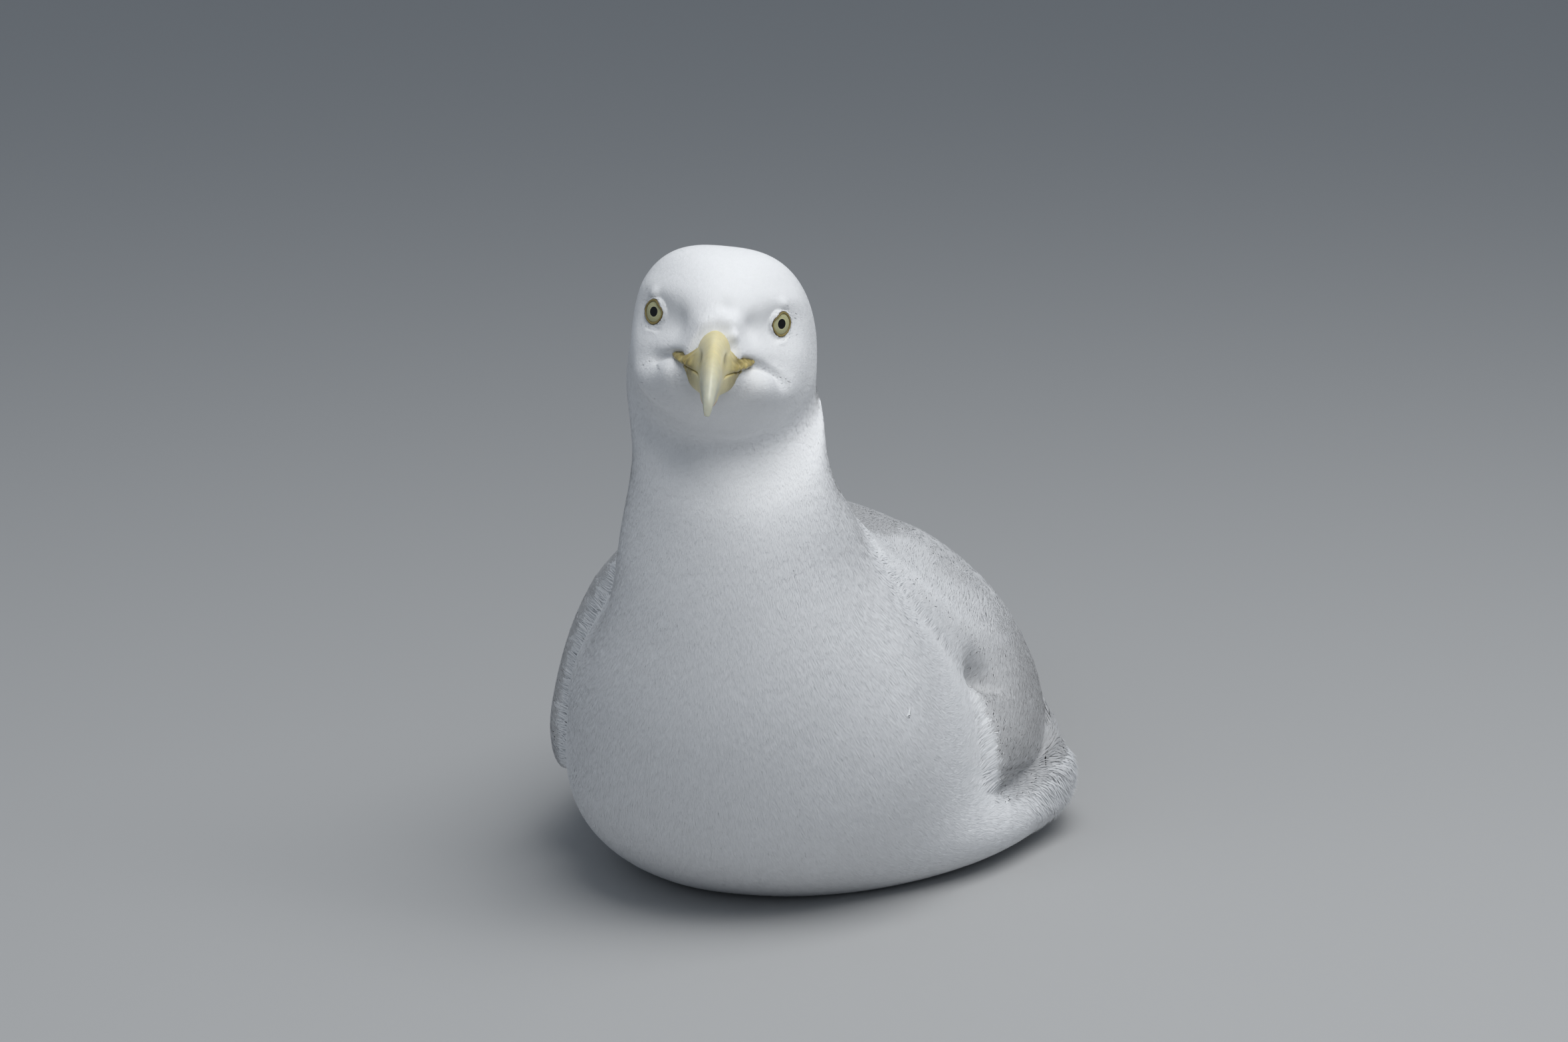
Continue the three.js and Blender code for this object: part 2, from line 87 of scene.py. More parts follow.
def turn_about(axis, degrees):
    """The rotation matrix about an axis, by the formula of Rodrigues."""
    x, y, z = np.asarray(axis, float) / np.linalg.norm(axis)
    cross = np.array([[0, -z, y], [z, 0, -x], [-y, x, 0]])
    a = math.radians(degrees)
    return np.eye(3) + math.sin(a) * cross + (1 - math.cos(a)) * cross @ cross


HEAD_AXES = turn_about((0, 0, 1), HEAD_TURN) @ turn_about((0, 1, 0), HEAD_LEAN)


def from_head(points):
    """Points of the head's frame in the body's frame."""
    return np.asarray(points, float) @ HEAD_AXES.T + EYE_LINE


def to_head(points):
    """Points of the body's frame in the head's frame."""
    return (np.asarray(points, float) - EYE_LINE) @ HEAD_AXES


# ---- The body's stations ----
# Each row is the [y, z] of the ring's end on the back and on the belly side, its half-width, how
# far up the widest place is, the powers of its upper and lower half, and its shift sideways.

BODY_STATIONS = (
    ((188, 78), (182, 50), 20, 0.5, 2, 2, 0),
    ((158, 96), (150, 22), 48, 0.42, 2, 2.2, 0),
    ((116, 115), (108, 0), 72, 0.3, 1.75, 2.8, 0),
    ((68, 129), (58, -6), 83, 0.26, 1.65, 3.5, 0),
    ((24, 138), (6, -6), 81, 0.29, 1.7, 3, 0),
    ((-10, 147), (-44, -2), 76, 0.36, 1.9, 2.3, 0),
    ((-29, 158), (-88, 22), 68, 0.4, 1.9, 2, 0),
    ((-40, 170), (-110, 66), 52.5, 0.42, 1.9, 2, 0),
    ((-44, 184), (-114, 113), 40.5, 0.42, 1.9, 2, 1),
    ((-44, 200), (-108, 154), 35, 0.45, 2, 2, 1.5),
)
HEAD_STATIONS = (
    ((45, -8), (-8, -47), 34, 0.5, 2.2, 2, 3),
    ((41, 12), (-13, -38), 33.5, 0.5, 2.6, 2.1, 3),
    ((20, 24), (-18, -33), 30.5, 0.5, 2.75, 2.2, 0.8),
    ((3, 23), (-22, -29.5), 23, 0.45, 2.7, 2.2, 0),
    ((-10, 16), (-25, -26), 16.5, 0.4, 2.3, 2.2, 0),
    ((-19, 7.5), (-27.5, -22.5), 12, 0.4, 2, 2, 0),
    ((-25, 0.5), (-30, -18), 8.5, 0.4, 2, 2, 0),
)
LAST = len(BODY_STATIONS) + len(HEAD_STATIONS) - 1

# Swellings and hollows: [y, z], half-widths, push sideways, and how much more on the bird's left.
BODY_SWELLINGS = (
    ((78, 15), (44, 17), 14, 5.5),
    ((8, 8), (48, 18), 0, 14),
    ((-62, 116), (34, 24), -9, 9),
    ((-66, 62), (28, 26), -4.5, 4.5),
    ((-60, 152), (32, 17), 0, 5),
    ((-58, 193), (17, 11), 0, 1.2),
)
HEAD_SWELLINGS = (
    ((-6, 1), (8, 8), -4.2, 0),
    ((-15, -3), (8, 7), -2.4, 0),
    ((-19, -12), (8, 4), -4, 0),
    ((-2, 10), (10, 4.5), 1.4, 0),
    ((-15, -22), (11, 7), 2.6, 0),
)


def circle(count, shift=0):
    """Angles in even steps round a circle, from shift steps on."""
    return 2 * np.pi * (np.arange(count) + shift) / count


def smooth(low, high, x):
    """0 below low, 1 above high, and an S-curve between."""
    s = np.clip((x - low) / (high - low), 0, 1)
    return s * s * (3 - 2 * s)


def bell(x, width):
    """A bell of height 1 and the given half-width."""
    return np.exp(-((x / width) ** 2))


def rounded(x, depth):
    """A quarter-round: 0 at the edge of a piece, 1 once depth is reached."""
    return np.sqrt(1 - (1 - np.clip(x / depth, 0, 1)) ** 2)


def signed_power(x, power):
    """A power that keeps the sign of its base."""
    return np.sign(x) * np.abs(x) ** power


def unit(v):
    """Vectors scaled to length one."""
    return v / np.maximum(np.linalg.norm(v, axis=-1, keepdims=True), 1e-12)


def smooth_line(rows, s):
    """The Catmull-Rom line through the rows, read at s from 0 to 1: between two rows it is the
    cubic whose slopes there are half the difference of the rows on either side."""
    rows = np.asarray(rows, float)
    if rows.ndim == 1:
        rows = rows[:, None]
    last = len(rows) - 1
    at = np.clip(np.asarray(s, float), 0, 1) * last
    i = np.minimum(at.astype(int), last - 1)
    u = (at - i)[..., None]
    wide = np.concatenate([2 * rows[:1] - rows[1:2], rows, 2 * rows[-1:] - rows[-2:-1]])
    a, b, c, d = wide[i], wide[i + 1], wide[i + 2], wide[i + 3]
    slope_b = 0.5 * (c - a)
    slope_c = 0.5 * (d - b)
    cubic = 2 * b - 2 * c + slope_b + slope_c
    square = 3 * c - 3 * b - 2 * slope_b - slope_c
    return ((cubic * u + square) * u + slope_b) * u + b


def station_lines():
    """The back line, the belly line, the half-width vectors and the ring shapes of all stations."""
    back, front, side, shape = [], [], [], []
    for rows, place, axis in (
        (BODY_STATIONS, lambda p: np.array(p, float), np.array([1.0, 0, 0])),
        (HEAD_STATIONS, from_head, HEAD_AXES[:, 0]),
    ):
        for (by, bz), (fy, fz), half, level, top, bottom, shift in rows:
            back.append(place([shift, by, bz]))
            front.append(place([shift, fy, fz]))
            side.append(axis * half)
            shape.append([level, top, bottom])
    return np.array(back), np.array(front), np.array(side), np.array(shape)


BACK, FRONT, SIDE, SHAPE = station_lines()


def swell(points, swellings):
    """Pushes points sideways by a bell in y and z round each swelling's place."""
    for at, size, push, left_more in swellings:
        side = np.tanh(points[..., 0] / 4)
        reach = side * (push + left_more * np.maximum(0, side))
        y = bell(points[..., 1] - at[0], size[0])
        z = bell(points[..., 2] - at[1], size[1])
        points[..., 0] += reach * y * z
    return points


def body_surface(t, angle):
    """The body at position t along it (0 at the tail root, LAST at the bill root) and angle round it
    (0 the bird's left side, 90 its back): a superellipse ring whose two halves have their own powers,
    on lines through the stations, pushed out by the swellings."""
    s = t / LAST
    back, front = smooth_line(BACK, s), smooth_line(FRONT, s)
    side, shape = smooth_line(SIDE, s), smooth_line(SHAPE, s)
    middle = front + (back - front) * shape[..., :1]
    c, h = np.cos(np.radians(angle)), np.sin(np.radians(angle))
    power = 2 / np.where(h >= 0, shape[..., 1], shape[..., 2])
    rise = np.where((h >= 0)[..., None], back - middle, middle - front)
    points = middle + side * signed_power(c, power)[..., None]
    points = points + rise * signed_power(h, power)[..., None]
    points = swell(points, BODY_SWELLINGS)
    return from_head(swell(to_head(points), HEAD_SWELLINGS))


# ---- The wing's arm, lying over the side of the trunk ----

GAP = 0.3  # between body and wing
WING_SKIN = 0.9  # the wing's thickness at its edges
WING_REAR = 1.35  # the t of its rear end
UPPER_EDGE = (66, 74)  # the angle of its upper edge in front and at the rear
FLANK_LIP = {"left": 0.9, "right": 0.3}  # how high the flank stands up against its lower edge
DENT_PLACE = (3.97, 24.5)  # t and angle of the dent between two feather groups on the left
DENT_SIZE = (0.19, 4.5)
DENT_DEPTH = 8
# For each wing: where its upper front corner lies, how far back its lower one is over which range
# of b, the angles of its lower corners, its thickness, and the b at which it has that thickness.
WING_SHAPES = {
    "left": (6.1, 1.85, (0.3, 0.62), (-3, 8), 10.5, 0.8),
    "right": (5.8, 0.8, (0.15, 0.8), (-9, 10), 9.5, 0.45),
}


def on_left(angle):
    """Whether an angle round the body is on the bird's left."""
    return np.cos(np.radians(angle)) > 0


def from_left(angle):
    """The angle from the bird's left side, -180 to 180, up to the back being positive."""
    return np.mod(angle + 180, 360) - 180


def on_each_side(angle, measure):
    """measure("left", turn) where the angle is on the bird's left and measure("right", turn) where it
    is on the right, with turn the angle from that side, up to the back."""
    left, turn = on_left(angle), from_left(angle)
    turn = np.where(left, turn, np.where(turn > 0, 180 - turn, -180 - turn))
    pairs = zip(measure("left", turn), measure("right", turn))
    return [np.where(left, one, other) for one, other in pairs]


def wing_place(t, angle):
    """Where a point of the body lies on the folded wing: a from its front edge (0) to the rump (1)
    and b from its upper edge (0) to its lower one (1). The edges are functions of each other, so
    the pair is found by rounds of substitution, each going half of the way."""

    def place(side, turn):
        front, slant, spread, low, _, _ = WING_SHAPES[side]
        b = np.full(np.shape(t), 0.5)
        for _ in range(24):
            edge = front - slant * smooth(*spread, b)
            a = (edge - t) / (edge - WING_REAR)
            inside = np.clip(a, -0.2, 1.2)
            upper = UPPER_EDGE[0] + (UPPER_EDGE[1] - UPPER_EDGE[0]) * inside
            lower = low[0] + (low[1] - low[0]) * inside
            b = 0.5 * b + 0.5 * (upper - turn) / (upper - lower)
        return a, b

    return on_each_side(angle, place)


def wing_lift(t, angle):
    """How far the folded wing stands out from the body: thin at its edges, thickest low down. On the
    left it rises softly out of the breast above, has a dent where two feather groups part, and the
    feathers of the flank stand up against its lower edge."""
    a, b = wing_place(t, angle)
    left = on_left(angle)
    soft = left * smooth(0.85, 0.6, b)

    def height(side, _):
        thick, full = WING_SHAPES[side][4:]
        front = soft * smooth(-0.04, 0.36, a) + (1 - soft) * rounded(a, 0.2)
        ends = front * rounded(1 - a, 0.9)
        lip = FLANK_LIP[side] * smooth(0.86, 0.93, b) * smooth(1.17, 0.99, b)
        lip = lip * smooth(0.15, 0.5, a) * smooth(1.0, 0.85, a)
        low = np.maximum(rounded(1 - b, 0.25) * smooth(1.0, 0.985, b), lip)
        return [(WING_SKIN + thick * ends * smooth(0, full, b)) * low]

    (thick,) = on_each_side(angle, height)
    turn = from_left(angle)
    dent = left * bell(t - DENT_PLACE[0] - 0.02 * (turn - 25), DENT_SIZE[0])
    dent = dent * bell(turn - DENT_PLACE[1], DENT_SIZE[1]) * smooth(18, 22, turn)
    edge = smooth(0, 0.12, b) * smooth(0, 0.06, a) * smooth(1.0, 0.95, a)
    return (GAP * (b < 1) + thick) * edge - DENT_DEPTH * dent


# ---- Fine folds of the head ----
# Lines in the head's frame along which the coat is drawn in, with a depth and a width.

CREASES = (
    (((10.1, -23.5, -9.5), (12.4, -19.6, -10.6), (16.7, -16.1, -12.3), (21.1, -14.3, -14.6),
      (24.3, -13.6, -16.9), (26.8, -12.4, -19.4), (28.4, -10, -23)), 2.5, 1.7),
    (((-10.8, -22.2, -9.5), (-13.3, -18.7, -10), (-15.7, -16.5, -10.9), (-18, -15, -12),
      (-20.1, -14.1, -13.4), (-21.2, -14.1, -14.5), (-22.2, -14.7, -16.1)), 2.3, 1.6),
    (((24.6, -3.4, -2.6), (22.3, -5.9, -3.4), (20, -8.4, -2.6)), 0.7, 0.7),
    (((-24.2, -3.9, -4.2), (-21.3, -6.8, -3.9), (-18.8, -9.2, -2.8)), 0.8, 0.7),
    (((24, 0.8, 7.2), (25.2, 1.6, 4), (25.2, 0.4, 0)), 0.7, 0.7),
    (((-24, 0.8, 6.6), (-25.2, 1.2, 3), (-25.2, 0, -1)), 0.7, 0.8),
)
# Rounded bumps and dents in the head's frame: the place, the half-width and the height.
BUMPS = (
    ((18.1, -20.2, -18.8), 6.5, 2.2),
    ((-15.2, -20.6, -15.6), 5.0, 2.0),
    ((5.5, -20.5, 4), 3.6, 1.2),
    ((2.7, -17.8, 8.5), 3.2, -0.9),
    ((-5, -22, 3), 3.5, 0.5),
    ((5.8, -23.8, -1.2), 2.2, 1.7),
    ((-13.5, -14, 1), 5, -1.5),
    ((12.6, -15.2, 2.0), 4.5, -1.8),
    ((22.6, -2.3, 8.6), 2.3, 1.2),
    ((-23.1, -1.7, 7.9), 2.3, 1.2),
)


def crease_share(points):
    """How near points of the head's frame are to the deep creases, from 0 to 1."""
    near = np.zeros(points.shape[:-1])
    for line, *_ in CREASES[:2]:
        for place in smooth_line(line, np.linspace(0, 1, 16)):
            near = np.maximum(near, bell(np.linalg.norm(points - place, axis=-1), 3.0))
    return near


def fold_height(points):
    """The height of the fine folds at points of the head's frame: each crease is a furrow that
    falls off as a bell with the distance from its line and grows wide and shallow towards its end,
    and each bump is a bell round its place."""
    height = np.zeros(points.shape[:-1])
    for line, depth, width in CREASES:
        steps = np.linspace(0, 1, 40)
        path = smooth_line(line, steps)
        near = np.full(height.shape, 1e9)
        along = np.zeros(height.shape)
        for place, s in zip(path, steps):
            gap = np.linalg.norm(points - place, axis=-1)
            closer = gap < near
            near = np.where(closer, gap, near)
            along = np.where(closer, s, along)
        strength = 1 - smooth(0.45, 1, along)
        spread = width * (1 + 0.9 * smooth(0.35, 1, along))
        height -= depth * strength * (bell(near, spread) - 0.35 * bell(near, 2.6 * spread))
    for place, width, rise in BUMPS:
        gap = np.linalg.norm(points - np.array(place, float), axis=-1)
        height += rise * bell(gap, width)
    return height


EYES = tuple(
    (side, EYE_PLACE * (side, 1, 1), unit(EYE_LOOK * (side, 1, 1))) for side in (1, -1)
)


def lid_radius(front, up):
    """The radius of the opening between the lids in the direction with these parts towards the bill
    and up: a little higher than wide, flatter above, with slight corners before and behind, and cut
    off under the brow."""
    brow = np.clip(0.64 * front + 0.77 * up, 0, 1) ** 6
    corners = 0.3 * np.abs(front) ** 8 - 0.3 * front**2
    return LID_RADIUS + corners - 0.2 * np.clip(up, 0, 1) ** 2 - 0.6 * brow


def eye_axes(look):
    """A right-handed frame with its third axis along the line of sight and its second one up."""
    side = unit(np.cross((0, 0, 1.0), look))
    return np.stack([side, np.cross(look, side), look], 1)


def lid_distance(points, side, centre, look):
    """How far points of the head's frame are from the edge of an eye's opening, seen along its line
    of sight: negative inside."""
    local = (points - centre) @ eye_axes(look)
    ring = np.maximum(np.hypot(local[..., 0], local[..., 1]), 1e-9)
    edge = lid_radius(-side * local[..., 0] / ring, local[..., 1] / ring)
    return np.where(local[..., 2] > 0, ring - edge, 1e9)


def eye_polar(points, centre, look):
    """The distance of points from an eye's centre, and their angle from its line of sight."""
    away = points - centre
    far = np.linalg.norm(away, axis=-1)
    cosine = np.clip((away @ look) / np.maximum(far, 1e-9), -1, 1)
    return far, np.degrees(np.arccos(cosine))


# ---- The outer surface of the coat, worked out once on a grid ----

T_STEPS = 640
A_STEPS = 720
LID_THICKNESS = 0.4
BILL_DROP = 1.5  # how far the surface dips to the root of the bill
FLOOR_GAP = 0.35  # how far the coat's surface stays over the floor
FLOOR_BLEND = 3.0
DEPTH_AT = [0, 8, 10.5, 12, 14, 16]  # t, with the coat's depth at each
DEPTH = [2.4, 2.0, 1.3, 0.9, 0.6, 0.35]


class Outer:
    """The outer surface of the coat on a grid of t and angle, with the frame and the measures that
    skin and feathers read from it."""

    def __init__(self):
        t = np.linspace(0, LAST, T_STEPS + 1)[:, None] * np.ones(A_STEPS)
        angle = np.arange(A_STEPS)[None, :] * (360 / A_STEPS) * np.ones((T_STEPS + 1, 1))
        points = body_surface(t, angle)
        self.t, self.angle = t, angle
        normal = self.normals(points)
        points = points + normal * wing_lift(t, angle)[..., None]
        points = self.with_folds(points, normal)
        points = points - normal * BILL_DROP * smooth(15.3, 16, t)[..., None]
        points[..., 2] = soft_floor(points[..., 2], FLOOR_GAP, FLOOR_BLEND)
        self.points = points
        self.normal = self.normals(points)
        self.along = np.gradient(points, LAST / T_STEPS, axis=0)
        self.round = self.round_steps(points) / (2 * 360 / A_STEPS)
        self.area = np.linalg.norm(np.cross(self.along, self.round), axis=-1)
        self.grey = grey_share(t, angle)
        self.depth = self.coat_depth() * (1 - 0.5 * self.grey)
        self.turn = feather_turn(t, angle)
        self.crease = np.where(t > 11, crease_share(to_head(points)), 0)

    @staticmethod
    def round_steps(points):
        """The steps from the point before to the point after, round each ring."""
        ring = np.concatenate([points[:, -1:], points, points[:, :1]], 1)
        return ring[:, 2:] - ring[:, :-2]

    def normals(self, points):
        """The outward normals: the cross product of the steps round and along the surface."""
        return unit(np.cross(self.round_steps(points), np.gradient(points, axis=0)))

    @staticmethod
    def with_folds(points, normal):
        """Adds the folds of the face, and the lids' swelling round each eyeball: the greater of a
        point's distance from the eye's centre and a dome's radius, with a rounded change."""
        head = slice(int(HEAD_START / LAST * T_STEPS), None)
        local = to_head(points[head])
        height = fold_height(local)
        local = local + (normal[head] @ HEAD_AXES) * height[..., None]
        for _, centre, look in EYES:
            far, polar = eye_polar(local, centre, look)
            dome = (EYE_RADIUS + LID_THICKNESS) * smooth(76, 44, polar)
            grown = 0.5 * (far + dome + np.sqrt((far - dome) ** 2 + 0.3))
            grown = np.where((far > 16) | (polar >= 80), far, grown)
            local = centre + (local - centre) * (grown / far)[..., None]
        points = points.copy()
        points[head] = from_head(local)
        return points

    def coat_depth(self):
        """How deep the white coat is: 2.4 mm on the trunk, thinning over neck and head to 0.35 mm at
        the bill, and a fifth of that at the eyes."""
        depth = np.interp(self.t, DEPTH_AT, DEPTH)
        local = to_head(self.points)
        for _, centre, look in EYES:
            far, polar = eye_polar(local, centre, look)
            near = np.where(polar < 85, bell(far - EYE_RADIUS, 5), 0)
            depth = depth * (1 - 0.8 * near)
        return depth

    def place(self, t, angle):
        """The point and the outward normal at t and angle."""
        return self.read("points", t, angle), unit(self.read("normal", t, angle))

    def read(self, name, t, angle):
        """A measure of the grid at t and angle, blended from the four grid points round it. Past
        the ends of the body, places go on along the surface's last slope."""
        grid = getattr(self, name)
        row = np.clip(t / LAST * T_STEPS, 0, T_STEPS - 1e-6)
        column = np.mod(angle, 360) / 360 * A_STEPS
        i, j = row.astype(int), column.astype(int) % A_STEPS
        u, v = row - i, column - np.floor(column)
        k = (j + 1) % A_STEPS
        if grid.ndim == 3:
            u, v = u[..., None], v[..., None]
        low = grid[i, j] * (1 - v) + grid[i, k] * v
        high = grid[i + 1, j] * (1 - v) + grid[i + 1, k] * v
        value = low * (1 - u) + high * u
        if name == "points":
            value = value + self.along[i, j] * (t - np.clip(t, 0, LAST))[..., None]
        return value

    def step(self, t, angle, move):
        """The changes of t and angle that move a point along the surface by the vector move."""
        along, around = self.read("along", t, angle), self.read("round", t, angle)
        aa, rr = np.sum(along * along, -1), np.sum(around * around, -1)
        ar = np.sum(along * around, -1)
        ma, mr = np.sum(move * along, -1), np.sum(move * around, -1)
        over = np.maximum(aa * rr - ar * ar, 1e-6)
        return (ma * rr - mr * ar) / over, (mr * aa - ma * ar) / over


def soft_floor(z, floor, blend):
    """Heights kept above the floor, with a rounded start: the floor plus half the height over it and
    half the root of that height squared plus a fifth of blend."""
    return floor + 0.5 * (z - floor + np.sqrt((z - floor) ** 2 + blend * 0.2))


def grey_share(t, angle):
    """How grey the plumage is, from 0 to 1: the folded wings, and the mantle between them from the
    rump to the foot of the neck. The left shoulder is pale with down and darkens slowly."""
    a, b = wing_place(t, angle)
    left = on_left(angle)
    downy = smooth(0.80, 0.45, b) * left
    wing = smooth(-0.015, 0.045, a) * smooth(1.03, 0.99, b) * (b > -0.2)
    cloud = 0.5 + 0.25 * (np.sin(9 * a + 14 * b) + np.sin(23 * b - 17 * a + 2 * np.sin(11 * a)))
    wing = wing * (1 - downy * (1 - 0.75 * smooth(0.1, 0.95, a)) * (0.72 + 0.26 * cloud))
    turn = np.abs(np.mod(angle, 360) - 90)
    mantle = smooth(6.3, 5.7, t) * smooth(40, 24, turn)
    return np.maximum(wing, mantle) * smooth(1.0, 1.3, t)


def feather_turn(t, angle):
    """How far feathers turn from the way to the tail, in degrees, up being positive: down along the
    front of the wing and over it, and up over its lower edge on the flanks."""
    a, b = wing_place(t, angle)
    left = on_left(angle)
    upward = smooth(1.75, 1.1, b) * smooth(0.93, 1.02, b)
    upward = upward * smooth(-0.15, 0.35, a) * smooth(1.25, 0.9, a)
    before = smooth(0.1, 0.4, b) * smooth(1.25, 0.9, b)
    before = before * smooth(-0.55, -0.05, a) * smooth(0.02, -0.02, a)
    over = smooth(1.03, 0.97, b) * smooth(-0.05, 0.35, b)
    over = over * smooth(-0.02, 0.02, a) * smooth(1.0, 0.2, a)
    rise = np.where(left, 62, 45) * upward
    fall = np.where(left, 50, 25) * before + (38 + 22 * smooth(0.4, 0.7, b)) * over
    return rise - fall


OUTER = Outer()


# ---- Making meshes ----


def new_mesh(name, points, faces, uv=None, marks=None, shading=None):
    """A mesh object from points in millimetres and a list of face arrays, each with its own number of
    corners. uv gives each point its place on OFBake, marks its values by name, and shading the
    normals that light sees, where they are softer than the faces' own."""
    mesh = bpy.data.meshes.new(name)
    corners = np.concatenate([f.ravel() for f in faces]).astype(np.int32)
    totals = np.concatenate([np.full(len(f), f.shape[1]) for f in faces]).astype(np.int32)
    starts = np.concatenate([[0], np.cumsum(totals)[:-1]]).astype(np.int32)
    mesh.vertices.add(len(points))
    mesh.vertices.foreach_set("co", (points * MM).astype(np.float32).ravel())
    mesh.loops.add(len(corners))
    mesh.loops.foreach_set("vertex_index", corners)
    mesh.polygons.add(len(totals))
    mesh.polygons.foreach_set("loop_start", starts)
    mesh.polygons.foreach_set("use_smooth", np.ones(len(totals), bool))
    if uv is not None:
        layer = mesh.uv_layers.new(name="OFBake")
        layer.data.foreach_set("uv", uv[corners].astype(np.float32).ravel())
    for label, values in (marks or {}).items():
        attribute = mesh.attributes.new(label, "FLOAT", "POINT")
        attribute.data.foreach_set("value", np.asarray(values, np.float32))
    mesh.update(calc_edges=True)
    mesh.validate()
    if shading is not None:
        mesh.normals_split_custom_set_from_vertices(shading.astype(np.float32))
    made = bpy.data.objects.new(name, mesh)
    bpy.context.scene.collection.objects.link(made)
    return made


def on_unwrap(t, angle):
    """The place of points of the skin on its unwrap, with a narrow border left free."""
    return np.stack([np.ravel(angle) / 360, np.ravel(t) / LAST], 1) * 0.994 + 0.003


def grid_faces(rows, columns, closed=False):
    """The four-cornered faces of a grid of points, row by row, wrapping round if closed."""
    across = columns if closed else columns - 1
    i, j = np.meshgrid(np.arange(rows - 1), np.arange(across), indexing="ij")
    i, j = i.ravel(), j.ravel()
    k = (j + 1) % columns
    return np.stack([i * columns + j, i * columns + k, (i + 1) * columns + k, (i + 1) * columns + j], 1)


def capped(points, rows, columns):
    """The points of a closed grid with a middle point added at each end, and its faces: the grid's
    own, and the triangles that shut its ends."""
    ends = np.stack([points[:columns].mean(0), points[-columns:].mean(0)])
    j = np.arange(columns)
    k = (j + 1) % columns
    first, second = len(points), len(points) + 1
    shut = np.stack([np.full(columns, first), k, j], 1)
    far = (rows - 1) * columns
    shut_far = np.stack([np.full(columns, second), far + j, far + k], 1)
    faces = [grid_faces(rows, columns, closed=True), np.concatenate([shut, shut_far])]
    return np.concatenate([points, ends]), faces


def make_piece(name, made, material, slot, *nodes):
    """Makes a piece from what new_mesh takes, gives it its material and the body it rides on, and hides
    what it replaces. The slot it is handed is not used."""
    piece = new_mesh(name, *made)
    piece.data.materials.append(material)
    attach(piece, "root")
    if nodes:
        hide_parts(*nodes)


# ---- Roots of the feathers ----

EYE_REACH = 20  # how far from an eye's centre the feathers part
LID_ROOM = 1.2  # how far outside the lids they part most
STRIDES = (0.7548776662466927, 0.5698402909980532)  # powers of the plastic number's inverse


def scatter(count, density, seed):
    """Places roots over the grid in the given density, evenly spread: a low-discrepancy sequence is
    carried from the unit square to t by the density's sums along the body, then to the angle by
    its sums round each ring."""
    weight = OUTER.area * density
    rows = weight.sum(1)
    n = np.arange(count) + seed
    u, v = (np.mod(0.5 + n * stride, 1) for stride in STRIDES)
    sums = np.concatenate([[0], np.cumsum(0.5 * (rows[1:] + rows[:-1]))])
    row = np.interp(u * sums[-1], sums, np.arange(T_STEPS + 1))
    i = np.clip(np.rint(row).astype(int), 0, T_STEPS)
    rings = np.cumsum(weight, 1)
    rings = rings / np.maximum(rings[:, -1:], 1e-12)
    ladder = (rings + np.arange(T_STEPS + 1)[:, None]).ravel()
    spot = np.searchsorted(ladder, i + v) - i * A_STEPS
    rng = np.random.default_rng(seed)
    t = row * LAST / T_STEPS + rng.uniform(-0.5, 0.5, count) * LAST / T_STEPS
    angle = (np.clip(spot, 0, A_STEPS - 1) + rng.uniform(-1, 1, count)) * 360 / A_STEPS
    return np.clip(t, 0, LAST), np.mod(angle, 360)


def lie(t, angle):
    """The way feathers point at t and angle, as unit vectors along the surface: towards the tail,
    turned by feather_turn, and parted round the eyes as a stream parts round a post."""
    points, normal = OUTER.place(t, angle)
    back = unit(-OUTER.read("along", t, angle))
    up = unit(np.cross(normal, back)) * np.where(on_left(angle), -1, 1)[..., None]
    turn = np.radians(OUTER.read("turn", t, angle))[..., None]
    head = np.cos(turn) * back + np.sin(turn) * up
    for _, centre, look in EYES:
        from_eye = points - from_head(centre)
        ahead = HEAD_AXES @ look
        away = from_eye - ahead * np.sum(from_eye * ahead, -1, keepdims=True)
        far = np.linalg.norm(away, axis=-1, keepdims=True)
        out = unit(away - normal * np.sum(away * normal, -1, keepdims=True))
        share = np.minimum(1, (LID_RADIUS + LID_ROOM) / np.maximum(far, 1e-6)) ** 2
        share = share * (np.linalg.norm(from_eye, axis=-1, keepdims=True) < EYE_REACH)
        head = unit(head - share * (2 * np.sum(head * out, -1, keepdims=True) * out - head))
    return head, normal


# ---- Tufts: fans of narrow blades ----

# Where along a blade its sections are, and how wide it is there.
SECTIONS = np.array([0.0, 0.55, 1.0])
SECTION_WIDTHS = np.array([0.7, 0.9, 0.0])
BLADES = 5
LOWEST_BLADE = 0.25  # how near to the floor a blade may come
PATCH = 0.0015  # half the width of a tuft's patch on the unwrap


def fan_paths(t, angle, length, spread, rng):
    """The t and angle of each blade of each tuft at the sections: from the root in the blade's own
    direction over the surface, in two straight halves. The outer blades are the shorter ones."""
    shape = (len(t), BLADES)
    head, normal = lie(t, angle)
    side = unit(np.cross(normal, head))
    yaw = rng.normal(0, 0.05, len(t))[:, None]
    place = np.linspace(-1, 1, BLADES)
    aim = (yaw + (place * spread + rng.normal(0, 0.03, shape)))[..., None]
    way = np.cos(aim) * head[:, None] + np.sin(aim) * side[:, None]
    reach = length[:, None] * (1 - 0.18 * place**2) * rng.uniform(0.85, 1.1, shape)
    half_way = way * reach[..., None] / 2
    t, angle = (np.broadcast_to(value[:, None], shape) for value in (t, angle))
    dt, da = OUTER.step(t, angle, half_way)
    last_dt, last_da = OUTER.step(t + dt, angle + da, half_way)
    first, last = np.minimum(2 * SECTIONS, 1), np.maximum(2 * SECTIONS - 1, 0)
    path_t = t[..., None] + dt[..., None] * first + last_dt[..., None] * last
    return path_t, angle[..., None] + da[..., None] * first + last_da[..., None] * last


def blade_faces(blades, each):
    """The faces of blades with each so many points: pairs of edge points, and a tip."""
    base = np.arange(blades)[:, None] * each
    quads = [base + [k, k + 1, k + 3, k + 2] for k in range(0, each - 3, 2)]
    return [np.concatenate(quads), base + [each - 3, each - 2, each - 1]]


